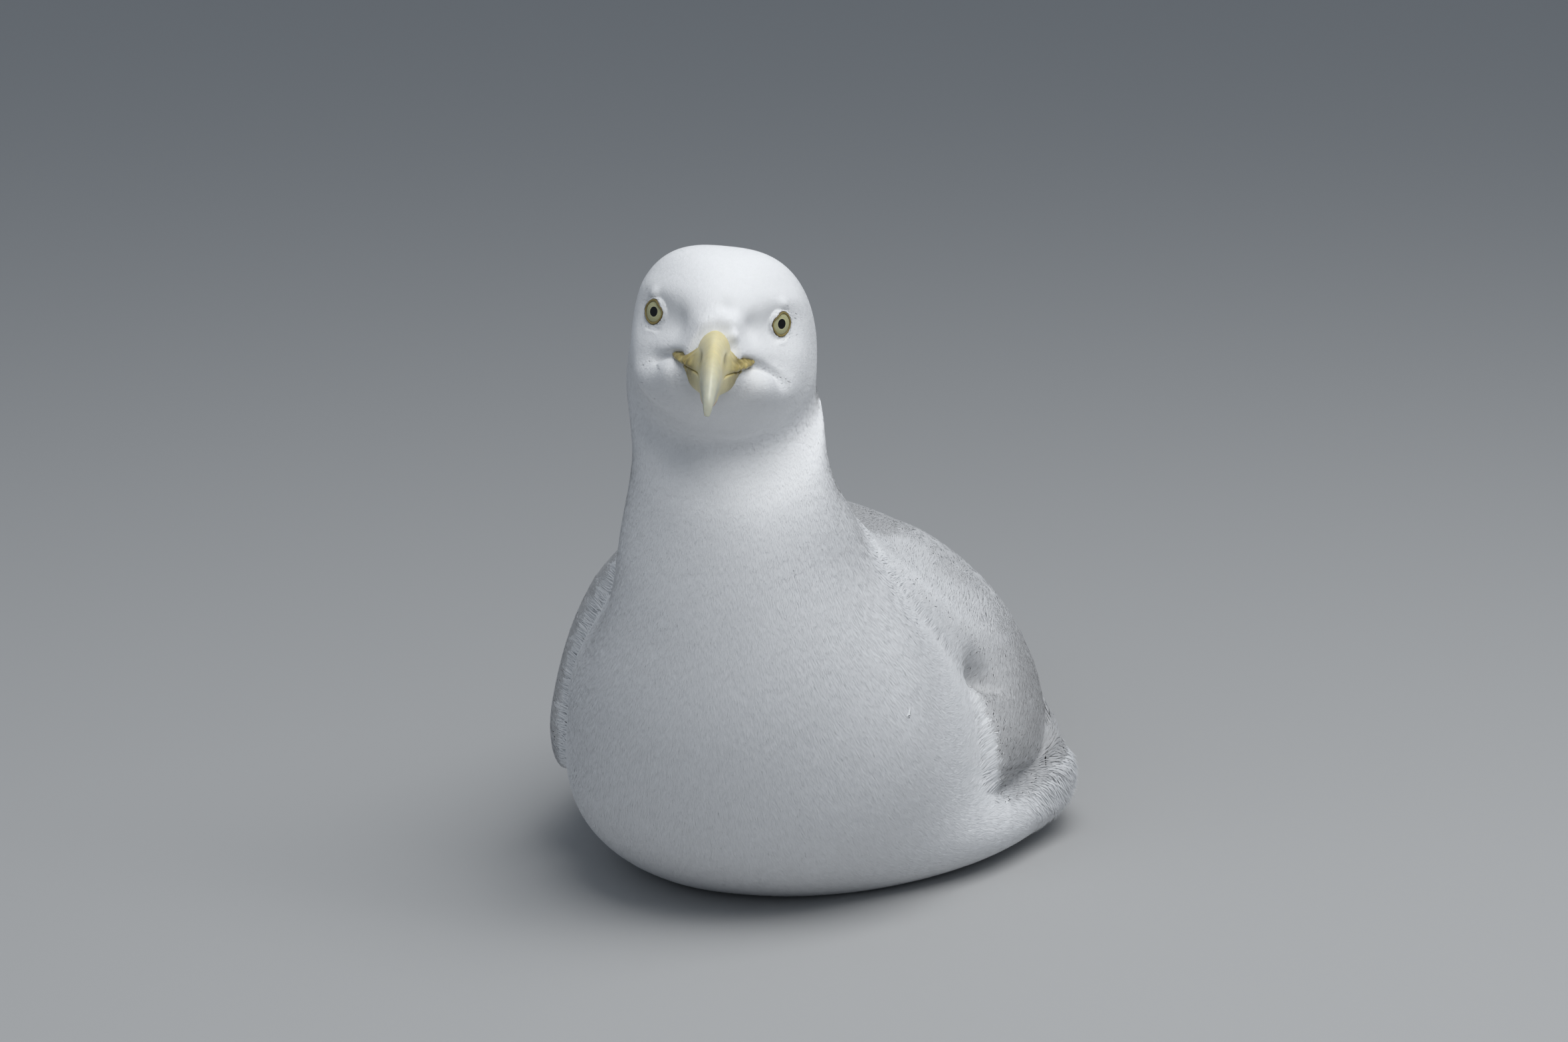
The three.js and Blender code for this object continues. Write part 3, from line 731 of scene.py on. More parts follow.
def tufts(t, angle, length, width, spread, rng, lift, tilt):
    """Each tuft is a fan of narrow blades that starts at its root in the skin and rises to the outer
    surface in a curve that flattens at the tip. A blade's middle line runs over the surface from the
    root in its own direction, its edges stand half a width to either side, and its last point is
    its tip. Light sees the coat's own surface there, tilted a little from blade to blade."""
    count, blades, s = len(t), BLADES, SECTIONS
    path_t, path_a = fan_paths(t, angle, length, spread, rng)
    points, out = OUTER.place(path_t, path_a)
    depth = OUTER.read("depth", path_t, path_a)
    settle = rng.uniform(-0.08, 0.0, count)[:, None, None]
    height = depth * (-1.06 * (1 - s) ** 3 + settle * s)
    height = height + lift[:, None, None] * s**2 * rng.uniform(0.6, 1.15, (count, blades, 1))
    middle = points + out * height[..., None]
    across = unit(np.cross(np.gradient(middle, axis=2), out))
    roll = rng.normal(0, 0.03, (count, blades))[..., None, None]
    across = across * np.cos(roll) + out * np.sin(roll)
    half = (width[:, None, None] * SECTION_WIDTHS)[..., None]
    left, right = middle - across * half, middle + across * half
    pairs = np.stack([left[:, :, :-1], right[:, :, :-1]], 3).reshape(count, blades, -1, 3)
    made = np.concatenate([pairs, middle[:, :, -1:]], 2)
    made[..., 2] = np.maximum(made[..., 2], LOWEST_BLADE)
    each = made.shape[2]
    seen = unit(out + across * rng.normal(0, tilt, (count, blades, 1, 1)))
    seen = np.concatenate([np.repeat(seen[:, :, :-1], 2, axis=2), seen[:, :, -1:]], 2)
    whole = blades * each
    along = np.append(np.repeat(s[:-1], 2), 1.0)
    patch = np.stack([np.append(np.tile([-1, 1], len(s) - 1), 0), 2 * along - 1], 1) * PATCH
    root = np.repeat(on_unwrap(t, angle), whole, axis=0)
    grey = np.clip(OUTER.read("grey", t, angle) * rng.normal(1, 0.08, count), 0, 1)
    marks = {
        "tone": np.repeat(rng.uniform(0, 1, count), whole),
        "grey": np.repeat(grey, whole),
        # how far along its blade a point lies, from which the plumage paints shade towards the root
        "tip": np.tile(along, count * blades),
    }
    uv = root + np.tile(patch, (count * blades, 1))
    faces = blade_faces(count * blades, each)
    return made.reshape(-1, 3), faces, uv, marks, seen.reshape(-1, 3)


def eye_distance(t, angle):
    """How far a place on the surface is from the edge of the nearer eye's opening."""
    local = to_head(OUTER.read("points", t, angle))
    return np.minimum(*(lid_distance(local, *eye) for eye in EYES))


# ---- Settings in the panel ----


def colour_setting(name, description, default):
    """A colour that can be set in the panel."""
    return bpy.props.FloatVectorProperty(
        name=name, description=description, subtype="COLOR", size=3, default=default, min=0, max=1
    )


class GullPlumage(bpy.types.PropertyGroup):
    """The colours of the feathers."""

    white: colour_setting("White", "Head, neck and underparts", (0.87, 0.88, 0.895))
    grey: colour_setting("Grey", "Mantle and wing coverts", (0.50, 0.505, 0.515))
    black: colour_setting("Black", "Wing tips", (0.016, 0.015, 0.016))


class GullStage(bpy.types.PropertyGroup):
    """Where the camera stands and how it sees the bird."""

    turn: bpy.props.FloatProperty(
        name="Turn", description="Camera's angle round the bird, towards its left",
        default=math.radians(14.5), subtype="ANGLE",
    )
    rise: bpy.props.FloatProperty(
        name="Rise", description="Camera's angle above the level",
        default=math.radians(12.5), subtype="ANGLE",
    )
    distance: bpy.props.FloatProperty(
        name="Distance", description="From the camera to the point it looks at",
        default=1.6, subtype="DISTANCE", unit="LENGTH",
    )
    focal: bpy.props.FloatProperty(
        name="Focal length", description="On a 36 mm wide sensor",
        default=98.55, subtype="DISTANCE_CAMERA",
    )


# ---- Materials ----

HORN_YELLOW = (0.80, 0.71, 0.38)
HORN_TIP = (0.62, 0.62, 0.50)
HORN_BASE = (0.52, 0.44, 0.17)
# the flaps at the gape: dull olive and paler yellow in random patches
GAPE_OLIVE = (0.17, 0.13, 0.035)
GAPE_PALE = (0.58, 0.47, 0.18)
SPOT_RED = (0.70, 0.13, 0.05)
# painted shade: the dark inside of each nostril's opening
NOSTRIL_SHADE = (0.05, 0.03, 0.015)
IRIS_DARK = (0.42, 0.41, 0.21)
IRIS_PALE = (0.60, 0.59, 0.36)
IRIS_RIM = (0.20, 0.15, 0.04)
IRIS_INNER = (0.72, 0.70, 0.48)
PUPIL_BLACK = (0.004, 0.004, 0.005)
RING_DARK = (0.20, 0.15, 0.04)
RING_OCHRE = (0.40, 0.32, 0.11)
# painted shade on the flanks of the ring round the eye, where its roll tucks against the coat and the
# eyeball
RING_FLANK_SHADE = (0.075, 0.055, 0.02)
FOOT_DARK = (0.62, 0.33, 0.29)
FOOT_PALE = (0.72, 0.47, 0.41)
FOOT_SCALE = (0.45, 0.22, 0.19)
FLOOR_GREY = (0.46, 0.465, 0.47)
SPOT_FORWARD = 55.0  # the red spot's place in the head's frame, forward and down
SPOT_DOWN = 22.0


def feed(tree, socket, value):
    """Links an input to an output socket, or sets it to a number or a colour."""
    if isinstance(value, bpy.types.NodeSocket):
        tree.links.new(value, socket)
    else:
        socket.default_value = (*value[:3], 1) if socket.type == "RGBA" else value


def add(tree, kind, inputs=None, **settings):
    """A node with its settings, and with its inputs fed by name or number."""
    node = tree.nodes.new(kind)
    for key, value in settings.items():
        setattr(node, key, value)
    for key, value in (inputs or {}).items():
        feed(tree, node.inputs[key], value)
    return node


def math_node(tree, operation, *values):
    """The output of a Math node fed by sockets or numbers."""
    return add(tree, "ShaderNodeMath", dict(enumerate(values)), operation=operation).outputs[0]


def times(tree, one, other):
    """The product of two values."""
    return math_node(tree, "MULTIPLY", one, other)


def mix_colour(tree, share, low, high):
    """The colour that lies between two colours by a share."""
    return add(tree, "ShaderNodeMix", {0: share, 6: low, 7: high}, data_type="RGBA").outputs[2]


def layered(tree, colour, *layers):
    """A colour with others laid over it, each by its share."""
    for share, over in layers:
        colour = mix_colour(tree, share, colour, over)
    return colour


def scaled(tree, colour, factor):
    """A colour made lighter or darker by a factor."""
    return add(tree, "ShaderNodeVectorMath", {0: colour, "Scale": factor}, operation="SCALE").outputs[0]


def read_mark(tree, name):
    """The value of a mesh attribute."""
    return add(tree, "ShaderNodeAttribute", attribute_name=name).outputs["Fac"]


def ramp(tree, value, low, high):
    """0 where a value is at low, 1 where it is at high, and in proportion between."""
    return add(tree, "ShaderNodeMapRange", {0: value, 1: low, 2: high}).outputs[0]


def own_place(tree):
    """The place of a point on its own object."""
    return add(tree, "ShaderNodeTexCoord").outputs["Object"]


def noise(tree, scale, detail, place=None):
    """The value of a noise texture, at the point's own place unless another is given."""
    inputs = {"Vector": place or own_place(tree), "Scale": scale, "Detail": detail}
    return add(tree, "ShaderNodeTexNoise", inputs).outputs[0]


def shade(tree, colour, values, bump=None):
    """Feeds the Principled shader with its colour and its values by socket, and with a bump where
    there is one: its height, its strength and its distance in metres."""
    inputs = tree.nodes["Principled BSDF"].inputs
    for key, value in {"Base Color": colour, **values}.items():
        feed(tree, inputs[key], value)
    if bump:
        node = add(tree, "ShaderNodeBump", dict(zip(("Height", "Strength", "Distance"), bump)))
        feed(tree, inputs["Normal"], node.outputs[0])


def material_of(name, look, *settings):
    """The material of this name, made by its look the first time it is asked for."""
    found = bpy.data.materials.get(name)
    if found:
        return found
    material = bpy.data.materials.new(name)
    material.use_nodes = True
    look(material.node_tree, *settings)
    return material


def soft_mottle(name):
    """A group that shades a colour with the soft unevenness of plumage: wide clouds, fine streaks
    and each tuft's own tone."""
    group = bpy.data.node_groups.new(name, "ShaderNodeTree")
    for label, kind, default in (
        ("Colour", "NodeSocketColor", (0.8, 0.8, 0.8, 1)),
        ("Tone", "NodeSocketFloat", 0.5),
        ("Strength", "NodeSocketFloat", 0.06),
    ):
        socket = group.interface.new_socket(label, in_out="INPUT", socket_type=kind)
        socket.default_value = default
    group.interface.new_socket("Colour", in_out="OUTPUT", socket_type="NodeSocketColor")
    start, end = group.nodes.new("NodeGroupInput"), group.nodes.new("NodeGroupOutput")
    total = math_node(group, "ADD", noise(group, 28.0, 4.0), noise(group, 260.0, 3.0))
    total = math_node(group, "ADD", total, start.outputs["Tone"])
    offset = math_node(group, "SUBTRACT", total, 1.5)
    factor = math_node(group, "ADD", times(group, offset, start.outputs["Strength"]), 1.0)
    feed(group, end.inputs[0], scaled(group, start.outputs["Colour"], factor))
    return group


def mottled(tree, colour, tone, strength):
    """A colour shaded by the mottle group."""
    name = "Plumage Mottle"
    group = bpy.data.node_groups.get(name) or soft_mottle(name)
    inputs = {"Colour": colour, "Tone": tone, "Strength": strength}
    return add(tree, "ShaderNodeGroup", inputs, node_tree=group).outputs[0]


def white_or_grey(tree):
    """The plumage's white or its grey, by the grey mark."""
    colours = bpy.context.scene.gull_plumage
    return mix_colour(tree, read_mark(tree, "grey"), colours.white, colours.grey)


def barbs(tree, along, slant, count):
    """Fine ridges that run slantwise from a feather's shaft to its edges: a sine of the place along
    the feather less a share of the distance from the shaft."""
    across = math_node(tree, "ABSOLUTE", read_mark(tree, "across"))
    slanted = math_node(tree, "MULTIPLY_ADD", across, -slant, read_mark(tree, along))
    return math_node(tree, "SINE", times(tree, slanted, count))


def plumage_look(tree):
    """Feathers of the body: white or grey, with painted shade a little darker towards each
    root, where the blades lie under others.
    """
    # painted shade: 5 per cent darker at each blade's root than at its tip
    factor = math_node(tree, "MULTIPLY_ADD", read_mark(tree, "tip"), 0.05, 0.95)
    colour = mottled(tree, scaled(tree, white_or_grey(tree), factor), read_mark(tree, "tone"), 0.03)
    sheen = {"Sheen Weight": 0.15, "Sheen Roughness": 0.6}
    shade(tree, colour, {"Roughness": 0.75, "Specular IOR Level": 0.25, **sheen})


def skin_look(tree):
    """The skin with its down: white or grey."""
    colour = mottled(tree, white_or_grey(tree), 0.2, 0.1)
    shade(tree, colour, {"Roughness": 0.9, "Specular IOR Level": 0.2})


def covert_look(tree):
    """Grey feathers: a paler edge and fine barbs across each vane."""
    tip = math_node(tree, "POWER", read_mark(tree, "tip"), 6.0)
    white = bpy.context.scene.gull_plumage.white
    pale = mix_colour(tree, times(tree, tip, 0.15), white_or_grey(tree), white)
    colour = mottled(tree, pale, read_mark(tree, "tone"), 0.10)
    ridges = barbs(tree, "tip", 0.22, 190.0)
    shade(tree, colour, {"Roughness": 0.75, "Specular IOR Level": 0.25}, (ridges, 0.25, 0.0002))


def flight_look(tree, ground):
    """Long feathers: white or grey as ground says, black where marked, white at the tip, with barbs."""
    colours = bpy.context.scene.gull_plumage
    black, white = ((read_mark(tree, name), getattr(colours, name)) for name in ("black", "white"))
    colour = layered(tree, getattr(colours, ground), black, white)
    colour = mottled(tree, colour, read_mark(tree, "tone"), 0.08)
    ridges = barbs(tree, "along", 0.10, 700.0)
    shade(tree, colour, {"Roughness": 0.6, "Specular IOR Level": 0.35}, (ridges, 0.2, 0.0002))


def bill_look(tree):
    """Horn: yellow with an olive base and a pale tip, a red spot low on the lower half, painted shade
    for the dark inside of the nostrils, and fine lines of growth. The spot is an ellipse, by the
    squares of the distances."""
    forward, height = read_mark(tree, "forward"), read_mark(tree, "height")
    ragged = math_node(tree, "MULTIPLY_ADD", noise(tree, 160.0, 5.0), 8.0, forward)
    # random patches of dull olive and paler yellow on the flaps at the gape
    gape_patches = math_node(tree, "MULTIPLY_ADD", noise(tree, 330.0, 5.0), 2.6, -0.85)
    gape = mix_colour(tree, gape_patches, GAPE_OLIVE, GAPE_PALE)
    aside = ramp(tree, read_mark(tree, "sideways"), 5.0, 8.5)
    spot_y = math_node(tree, "SUBTRACT", forward, SPOT_FORWARD)
    spot_z = math_node(tree, "ADD", height, SPOT_DOWN)
    far = math_node(tree, "MULTIPLY_ADD", times(tree, spot_z, spot_z), 3.5, times(tree, spot_y, spot_y))
    spot = times(tree, ramp(tree, far, 60.0, 28.0), ramp(tree, height, -15.5, -17.0))
    colour = layered(
        tree,
        HORN_YELLOW,
        (ramp(tree, ragged, 58.0, 76.0), HORN_TIP),
        (times(tree, ramp(tree, ragged, 42.0, 26.0), 0.35), HORN_BASE),
        (times(tree, aside, 0.9), gape),
        (spot, SPOT_RED),
        # painted shade for the dark inside of the nostrils
        (read_mark(tree, "nostril"), NOSTRIL_SHADE),
    )
    streak = noise(tree, 420.0, 4.0)
    colour = scaled(tree, colour, math_node(tree, "MULTIPLY_ADD", streak, 0.22, 0.89))
    soft = {"Subsurface Weight": 0.08, "Subsurface Radius": (0.002, 0.001, 0.0004)}
    shade(tree, colour, {"Roughness": 0.34, **soft}, (streak, 0.25, 0.0004))


def eye_look(tree):
    """Pale yellow iris with fine rays, a black pupil and a dark rim, under a clear wet coat."""
    polar, turn = read_mark(tree, "polar"), read_mark(tree, "turn")
    edge = math.degrees(math.asin(PUPIL_RADIUS / (EYE_RADIUS - 0.7)))
    rays = add(tree, "ShaderNodeCombineXYZ", {0: times(tree, turn, 60.0), 1: times(tree, polar, 0.12)})
    grain = noise(tree, 1.0, 3.0, rays.outputs[0])
    colour = layered(
        tree,
        mix_colour(tree, grain, IRIS_DARK, IRIS_PALE),
        (ramp(tree, polar, 33.0, 41.0), IRIS_RIM),
        (times(tree, ramp(tree, polar, edge + 3.5, edge + 0.5), 0.4), IRIS_INNER),
        (ramp(tree, polar, edge + 0.6, edge - 0.4), PUPIL_BLACK),
    )
    wet = {"Coat Weight": 0.55, "Coat Roughness": 0.03}
    shade(tree, colour, {"Roughness": 0.4, "Specular IOR Level": 0.1, **wet})


def ring_look(tree):
    """The bare ring round the eye: ochre yellow, with painted shade on the flanks of its roll: darkest
    on the outer flank and nearly as dark on the inner one, where the roll meets the coat and the
    eyeball.
    """
    grain = noise(tree, 900.0, 3.0)
    # how far round the roll a point lies towards its flanks, for the painted shade there
    side = math_node(tree, "ABSOLUTE", math_node(tree, "ADD", read_mark(tree, "rim"), 0.1))
    skin = mix_colour(tree, grain, RING_DARK, RING_OCHRE)
    # painted shade on both flanks of the roll; only its top keeps the ochre skin
    colour = mix_colour(tree, ramp(tree, side, 0.35, 0.95), skin, RING_FLANK_SHADE)
    shade(tree, colour, {"Roughness": 0.5}, (grain, 0.4, 0.0003))


def foot_look(tree):
    """Scaly pink skin of legs and webs."""
    scales = add(tree, "ShaderNodeTexVoronoi", {"Vector": own_place(tree), "Scale": 650.0}).outputs[0]
    skin = mix_colour(tree, noise(tree, 90.0, 4.0), FOOT_DARK, FOOT_PALE)
    colour = mix_colour(tree, times(tree, scales, 0.3), skin, FOOT_SCALE)
    shade(tree, colour, {"Roughness": 0.5}, (scales, 0.5, 0.0005))


# ---- The skin ----

SKIN_ROWS = 300
SKIN_COLUMNS = 300
BELLY_ROOM = 2.0  # the skin's height over the floor
FOOT_ROOM = 8.0  # and over the folded feet


class GULL_OT_skin(bpy.types.Operator):
    """Make the skin that covers trunk, neck, head and the arms of the wings"""

    bl_idname = "gull.skin"
    bl_label = "Skin"

    def execute(self, context):
        share = np.linspace(0, 1, SKIN_ROWS)
        t = (LAST * (share + 0.05 * np.sin(np.pi * share)))[:, None] * np.ones(SKIN_COLUMNS)
        angle = (np.arange(SKIN_COLUMNS) * 360 / SKIN_COLUMNS)[None, :] * np.ones((SKIN_ROWS, 1))
        points, normal = OUTER.place(t, angle)
        points = points - normal * OUTER.read("depth", t, angle)[..., None]
        local = to_head(points)
        for side, centre, look in EYES:
            opening = lid_distance(local, side, centre, look) < 0.15
            inner = centre + unit(local - centre) * (EYE_RADIUS - 1.2)
            local = np.where(opening[..., None], inner, local)
        points = np.where((t > HEAD_START)[..., None], from_head(local), points)
        over_foot = bell(np.abs(points[..., 0]) - 24, 16) * bell(points[..., 1] - 5, 60)
        points[..., 2] = np.maximum(points[..., 2], BELLY_ROOM + (FOOT_ROOM - BELLY_ROOM) * over_foot)
        flat, faces = capped(points.reshape(-1, 3), SKIN_ROWS, SKIN_COLUMNS)
        uv = np.concatenate([on_unwrap(t, angle), on_unwrap([0, LAST], [180, 180])])
        grey = np.append(OUTER.read("grey", t, angle), [0.0, 0.0])
        nodes = ("head", "neck", "trunk", "wing_left", "wing_right")
        material = material_of("skin and down", skin_look)
        make_piece("skin", (flat, faces, uv, {"grey": grey}), material, "white_plumage", *nodes)
        return {"FINISHED"}


# ---- The white coat ----

# Along the body: t, how long the tufts are there, and half a blade's width.
LENGTH_AT = [0, 2, 6, 8, 9.5, 11, 12.5, 14.5, 16]
LENGTH = [19, 17, 14, 9.5, 6.5, 5.5, 4.6, 3.2, 2.2]
WIDTH = [0.45, 0.45, 0.44, 0.44, 0.42, 0.38, 0.32, 0.25, 0.18]

# Regions of the white coat: the name, t from and to, angles from and to, how many tufts, and how much
# the light tells their blades apart.
REGIONS = (
    ("feathers_face", 13.0, 16.0, 0, 360, 11000, 0.05),
    ("feathers_crown_and_cheeks", 11.2, 13.0, 0, 360, 10400, 0.04),
    ("feathers_nape_and_throat", 9.6, 11.2, 0, 360, 9500, 0.02),
    ("feathers_neck", 8.2, 9.6, 0, 360, 8700, 0.03),
    ("feathers_breast_upper", 6.9, 8.2, 0, 360, 10000, 0.05),
    ("feathers_breast_lower", 5.4, 6.9, 0, 360, 10000, 0.06),
    ("feathers_flank_left", 1.2, 5.4, 270, 450, 11000, 0.09),
    ("feathers_flank_right", 1.2, 5.4, 90, 270, 6000, 0.07),
    ("feathers_rump_and_vent", 0.0, 1.2, 0, 360, 2600, 0.08),
)
LID_GAP = 0.8  # how far every tuft stays away from the lids
LONGEST_NEAR_EYE = 3.0
FLANK_LIFT = 3.0  # how far tips may stand out over the flank's edge
COAT_SPREAD = 0.24  # half a fan's angle, in radians


def white_density(t_from, t_to, angle_from, angle_to):
    """The density of white tufts over a region: none under the grey, few where the belly rests on
    the floor, and more where they are short."""
    t, angle = OUTER.t, OUTER.angle
    inside = (t >= t_from) & (t <= t_to)
    span = np.mod(angle - angle_from, 360) <= (angle_to - angle_from)
    under = smooth(0.1, 0.5, OUTER.grey)
    length = np.interp(t, LENGTH_AT, LENGTH)
    density = inside * span * (1 - under) * (9 / length) ** 1.3
    resting = smooth(6, 1.5, OUTER.points[..., 2])
    return density * (1 - 0.75 * resting)


def clear_of_lids(t, angle):
    """The roots whose tufts stay clear of the lids at root and tip, and their distances from them."""
    gap = eye_distance(t, angle)
    ahead = np.minimum(LONGEST_NEAR_EYE, LID_GAP + 0.6 * gap)
    dt, da = OUTER.step(t, angle, lie(t, angle)[0] * ahead[:, None])
    keep = np.minimum(gap, eye_distance(t + dt, angle + da)) > LID_GAP
    return t[keep], angle[keep], gap[keep]


def tuft_measures(t, angle, gap, rng):
    """The length of the white tufts, half their blades' width, and how far their tips are lifted:
    shorter near the lids and in the creases, and lifted over the flank's edge on the wing and a
    little at the bill's root."""
    length = np.interp(t, LENGTH_AT, LENGTH) * rng.uniform(0.75, 1.2, len(t))
    length = np.minimum(length, LID_GAP + 0.6 * gap)
    length = length * (1 - 0.5 * OUTER.read("crease", t, angle))
    width = np.interp(t, LENGTH_AT, WIDTH) * rng.uniform(0.8, 1.2, len(t))
    width = width * np.clip(length / 2.0, 0.65, 1)
    a, b = wing_place(t, angle)
    edge = smooth(1.35, 1.02, b) * smooth(0.1, 0.4, a) * smooth(1.15, 0.9, a)
    lift = edge * rng.uniform(0, FLANK_LIFT, len(t)) * np.where(on_left(angle), 1.0, 0.4)
    return length, width, lift + smooth(14.4, 15.6, t) * rng.uniform(-0.1, 0.5, len(t))


class GULL_OT_coat(bpy.types.Operator):
    """Make the white feathers of head, neck, breast, belly and rump, region by region"""

    bl_idname = "gull.coat"
    bl_label = "White coat"

    def execute(self, context):
        for index, (name, t_from, t_to, a_from, a_to, count, tilt) in enumerate(REGIONS):
            density = white_density(t_from, t_to, a_from, a_to)
            t, angle, gap = clear_of_lids(*scatter(count, density, 1000 * (index + 1)))
            rng = np.random.default_rng(100 + index)
            length, width, lift = tuft_measures(t, angle, gap, rng)
            made = tufts(t, angle, length, width, COAT_SPREAD, rng, lift, tilt)
            make_piece(name, made, material_of("body plumage", plumage_look), "white_plumage")
        return {"FINISHED"}


# ---- Vanes: single feathers with a web ----

VANE_ROWS = 7
VANE_COLUMNS = 6
VANE_ROOT = 2.4  # how deep a vane's root lies
VANE_ARCH = 0.044
LOWEST_VANE = 0.3  # how near to the floor a vane may come
VANES_A_SIDE = 1500
DOWN_A_SIDE = 4600
DOWN_SPREAD = 0.3


def vanes(t, angle, length, width, rng):
    """Each vane is a small curved sheet: its root lies deep, it widens in a quarter-round to its full
    width, ends in a round tip, arches across, and follows the surface below it."""
    count, rows, columns = len(t), VANE_ROWS, VANE_COLUMNS
    head, normal = lie(t, angle)
    side = unit(np.cross(normal, head))
    yaw = rng.normal(0, 0.04, count)[:, None]
    way = np.cos(yaw) * head + np.sin(yaw) * side
    side = unit(np.cross(normal, way))
    v = np.linspace(0, 1, rows)[None, :, None]
    u = np.linspace(1, -1, columns)[None, None, :]
    outline = rounded(v + 0.08, 0.5) * rounded(1.0 - v, 0.42)
    ragged = 1 + rng.normal(0, 0.02, (count, 1, columns)) * smooth(0.5, 1, v)
    ahead = length[:, None, None] * (v * (1 - 0.10 * u**2) * ragged)
    aside = width[:, None, None] * u * np.maximum(outline, 0.04)
    move = way[:, None, None] * ahead[..., None] + side[:, None, None] * aside[..., None]
    wide_t = np.broadcast_to(t[:, None, None], ahead.shape)
    wide_a = np.broadcast_to(angle[:, None, None], ahead.shape)
    dt, da = OUTER.step(wide_t, wide_a, move)
    path_t, path_a = wide_t + dt, wide_a + da
    points, out = OUTER.place(path_t, path_a)
    height = -VANE_ROOT * (1 - v) ** 1.4 - VANE_ARCH * u**2 * width[:, None, None]
    height = height + rng.normal(0, 0.07, (count, 1, 1)) + rng.normal(0, 0.03, count)[:, None, None] * u
    points = points + out * height[..., None]
    flat = points.reshape(-1, 3)
    flat[:, 2] = np.maximum(flat[:, 2], LOWEST_VANE)
    each = rows * columns
    faces = (np.arange(count)[:, None, None] * each + grid_faces(rows, columns)).reshape(-1, 4)
    tone = np.repeat(rng.uniform(0, 1, count), each)
    grey = np.repeat(OUTER.read("grey", t, angle), each)
    along = np.broadcast_to(v, (count, rows, columns)).ravel()
    across = np.broadcast_to(u, (count, rows, columns)).ravel()
    uv = np.repeat(on_unwrap(t, angle), each, axis=0) + np.stack([across, 2 * along - 1], 1) * PATCH
    return flat, [faces], uv, {"tone": tone, "grey": grey, "tip": along, "across": across}


def feather_size(t, angle):
    """The length and half-width of the grey feathers: small along the wing's front edge and at the
    neck, and longer towards the rump and down the wing."""
    a, b = wing_place(t, angle)
    rear = np.clip(a, 0, 1)
    length = 9 + 17 * smooth(0, 0.6, rear) + 12 * smooth(0.5, 1, rear)
    width = 3.4 + 4.6 * smooth(0, 0.5, rear) + 1.6 * smooth(0.5, 1, rear)
    low = smooth(0.75, 1.0, b)
    return length * (1 - 0.2 * low), width * (1 - 0.35 * low)


class GULL_OT_coverts(bpy.types.Operator):
    """Make the grey feathers of the mantle, the shoulders and the wings"""

    bl_idname = "gull.coverts"
    bl_label = "Grey feathers"

    def execute(self, context):
        length, width = feather_size(OUTER.t, OUTER.angle)
        mask = smooth(0.02, 0.2, OUTER.grey) / (length * width)
        left = on_left(OUTER.angle)
        a = wing_place(OUTER.t, OUTER.angle)[0]
        down = smooth(0.02, 0.2, OUTER.grey) * (0.04 + smooth(0.75, 0.3, a) * smooth(-0.1, 0.1, a))
        for name, side, seed in (("coverts_left", left, 21), ("coverts_right", ~left, 22)):
            t, angle = scatter(VANES_A_SIDE, mask * side, seed * 100)
            rng = np.random.default_rng(seed)
            length, width = feather_size(t, angle)
            length = length * rng.uniform(0.85, 1.15, len(t))
            width = width * rng.uniform(0.85, 1.1, len(t))
            made = vanes(t, angle, length, width, rng)
            make_piece(name, made, material_of("grey coverts", covert_look), "grey_plumage")
            t, angle = scatter(DOWN_A_SIDE, down * side, seed * 100 + 50)
            length = 7 + 9 * smooth(0, 0.5, wing_place(t, angle)[0]) * rng.uniform(0.7, 1.2, len(t))
            width = 0.42 * rng.uniform(0.8, 1.2, len(t))
            made = tufts(t, angle, length, width, DOWN_SPREAD, rng, np.full(len(t), 0.25), 0.09)
            name = name.replace("coverts", "down_on_wing")
            make_piece(name, made, material_of("body plumage", plumage_look), "grey_plumage")
        return {"FINISHED"}


# ---- Flight feathers, in the blades of tail and wing ----

TAIL_BLADE = {
    "line": ((0, 150, 64), (0, 200, 46), (0, 255, 30), (0, 300, 21)),
    "half": (22, 27, 32, 36), "thick": (8, 6, 4, 2), "twist": (0, 0, 0, 0), "arch": 5,
}


def wing_blade(side, line, half, thick, twist, arch):
    """A blade of the wing, from its measures on the bird's left."""
    line = [(side * x, y, z) for x, y, z in line]
    twist = [side * x for x in twist]
    return {"line": line, "half": half, "thick": thick, "twist": twist, "arch": arch}


def tertial_blade(side):
    """The rear of the folded wing on one side."""
    line = ((48, 88, 96), (33, 136, 93), (22, 184, 81), (12, 226, 65))
    return wing_blade(side, line, (24, 31, 23, 5), (4, 6, 4.5, 1.8), (46, 41, 35, 26), 5)


def primary_blade(side):
    """The folded wing point on one side."""
    line = ((58, 100, 61), (45, 160, 57), (25, 240, 46 + 2 * side), (5, 300, 38 + 3 * side),
            (-7, 342, 35 + 4 * side))
    return wing_blade(side, line, (19, 19, 14, 9, 3), (5, 4.5, 4, 3, 1.4), (52, 48, 34, 22, 12), 1.5)


def blade_frame(blade, s):
    """A blade at s along it: its middle, its directions across and up, its half-width, its half
    thickness and how far its sides bend down, as in the solid it fills."""
    middle = smooth_line(blade["line"], s)
    ahead = unit(smooth_line(blade["line"], s + 0.01) - smooth_line(blade["line"], s - 0.01))
    flat = unit(np.cross((0, 0, 1.0), ahead))
    twist = np.radians(smooth_line(blade["twist"], s))
    wide = flat * np.cos(twist) + np.cross(ahead, flat) * np.sin(twist)
    up = unit(np.cross(ahead, wide))
    half = smooth_line(blade["half"], s)[..., 0]
    thick = smooth_line(blade["thick"], s)[..., 0] / 2
    return middle, wide, up, half, thick, 4 * blade["arch"] * s * (1 - s)


FEATHER_STEPS = 30
FEATHER_SIDES = 22
SHEET = 0.16  # half the thickness of a long feather's web


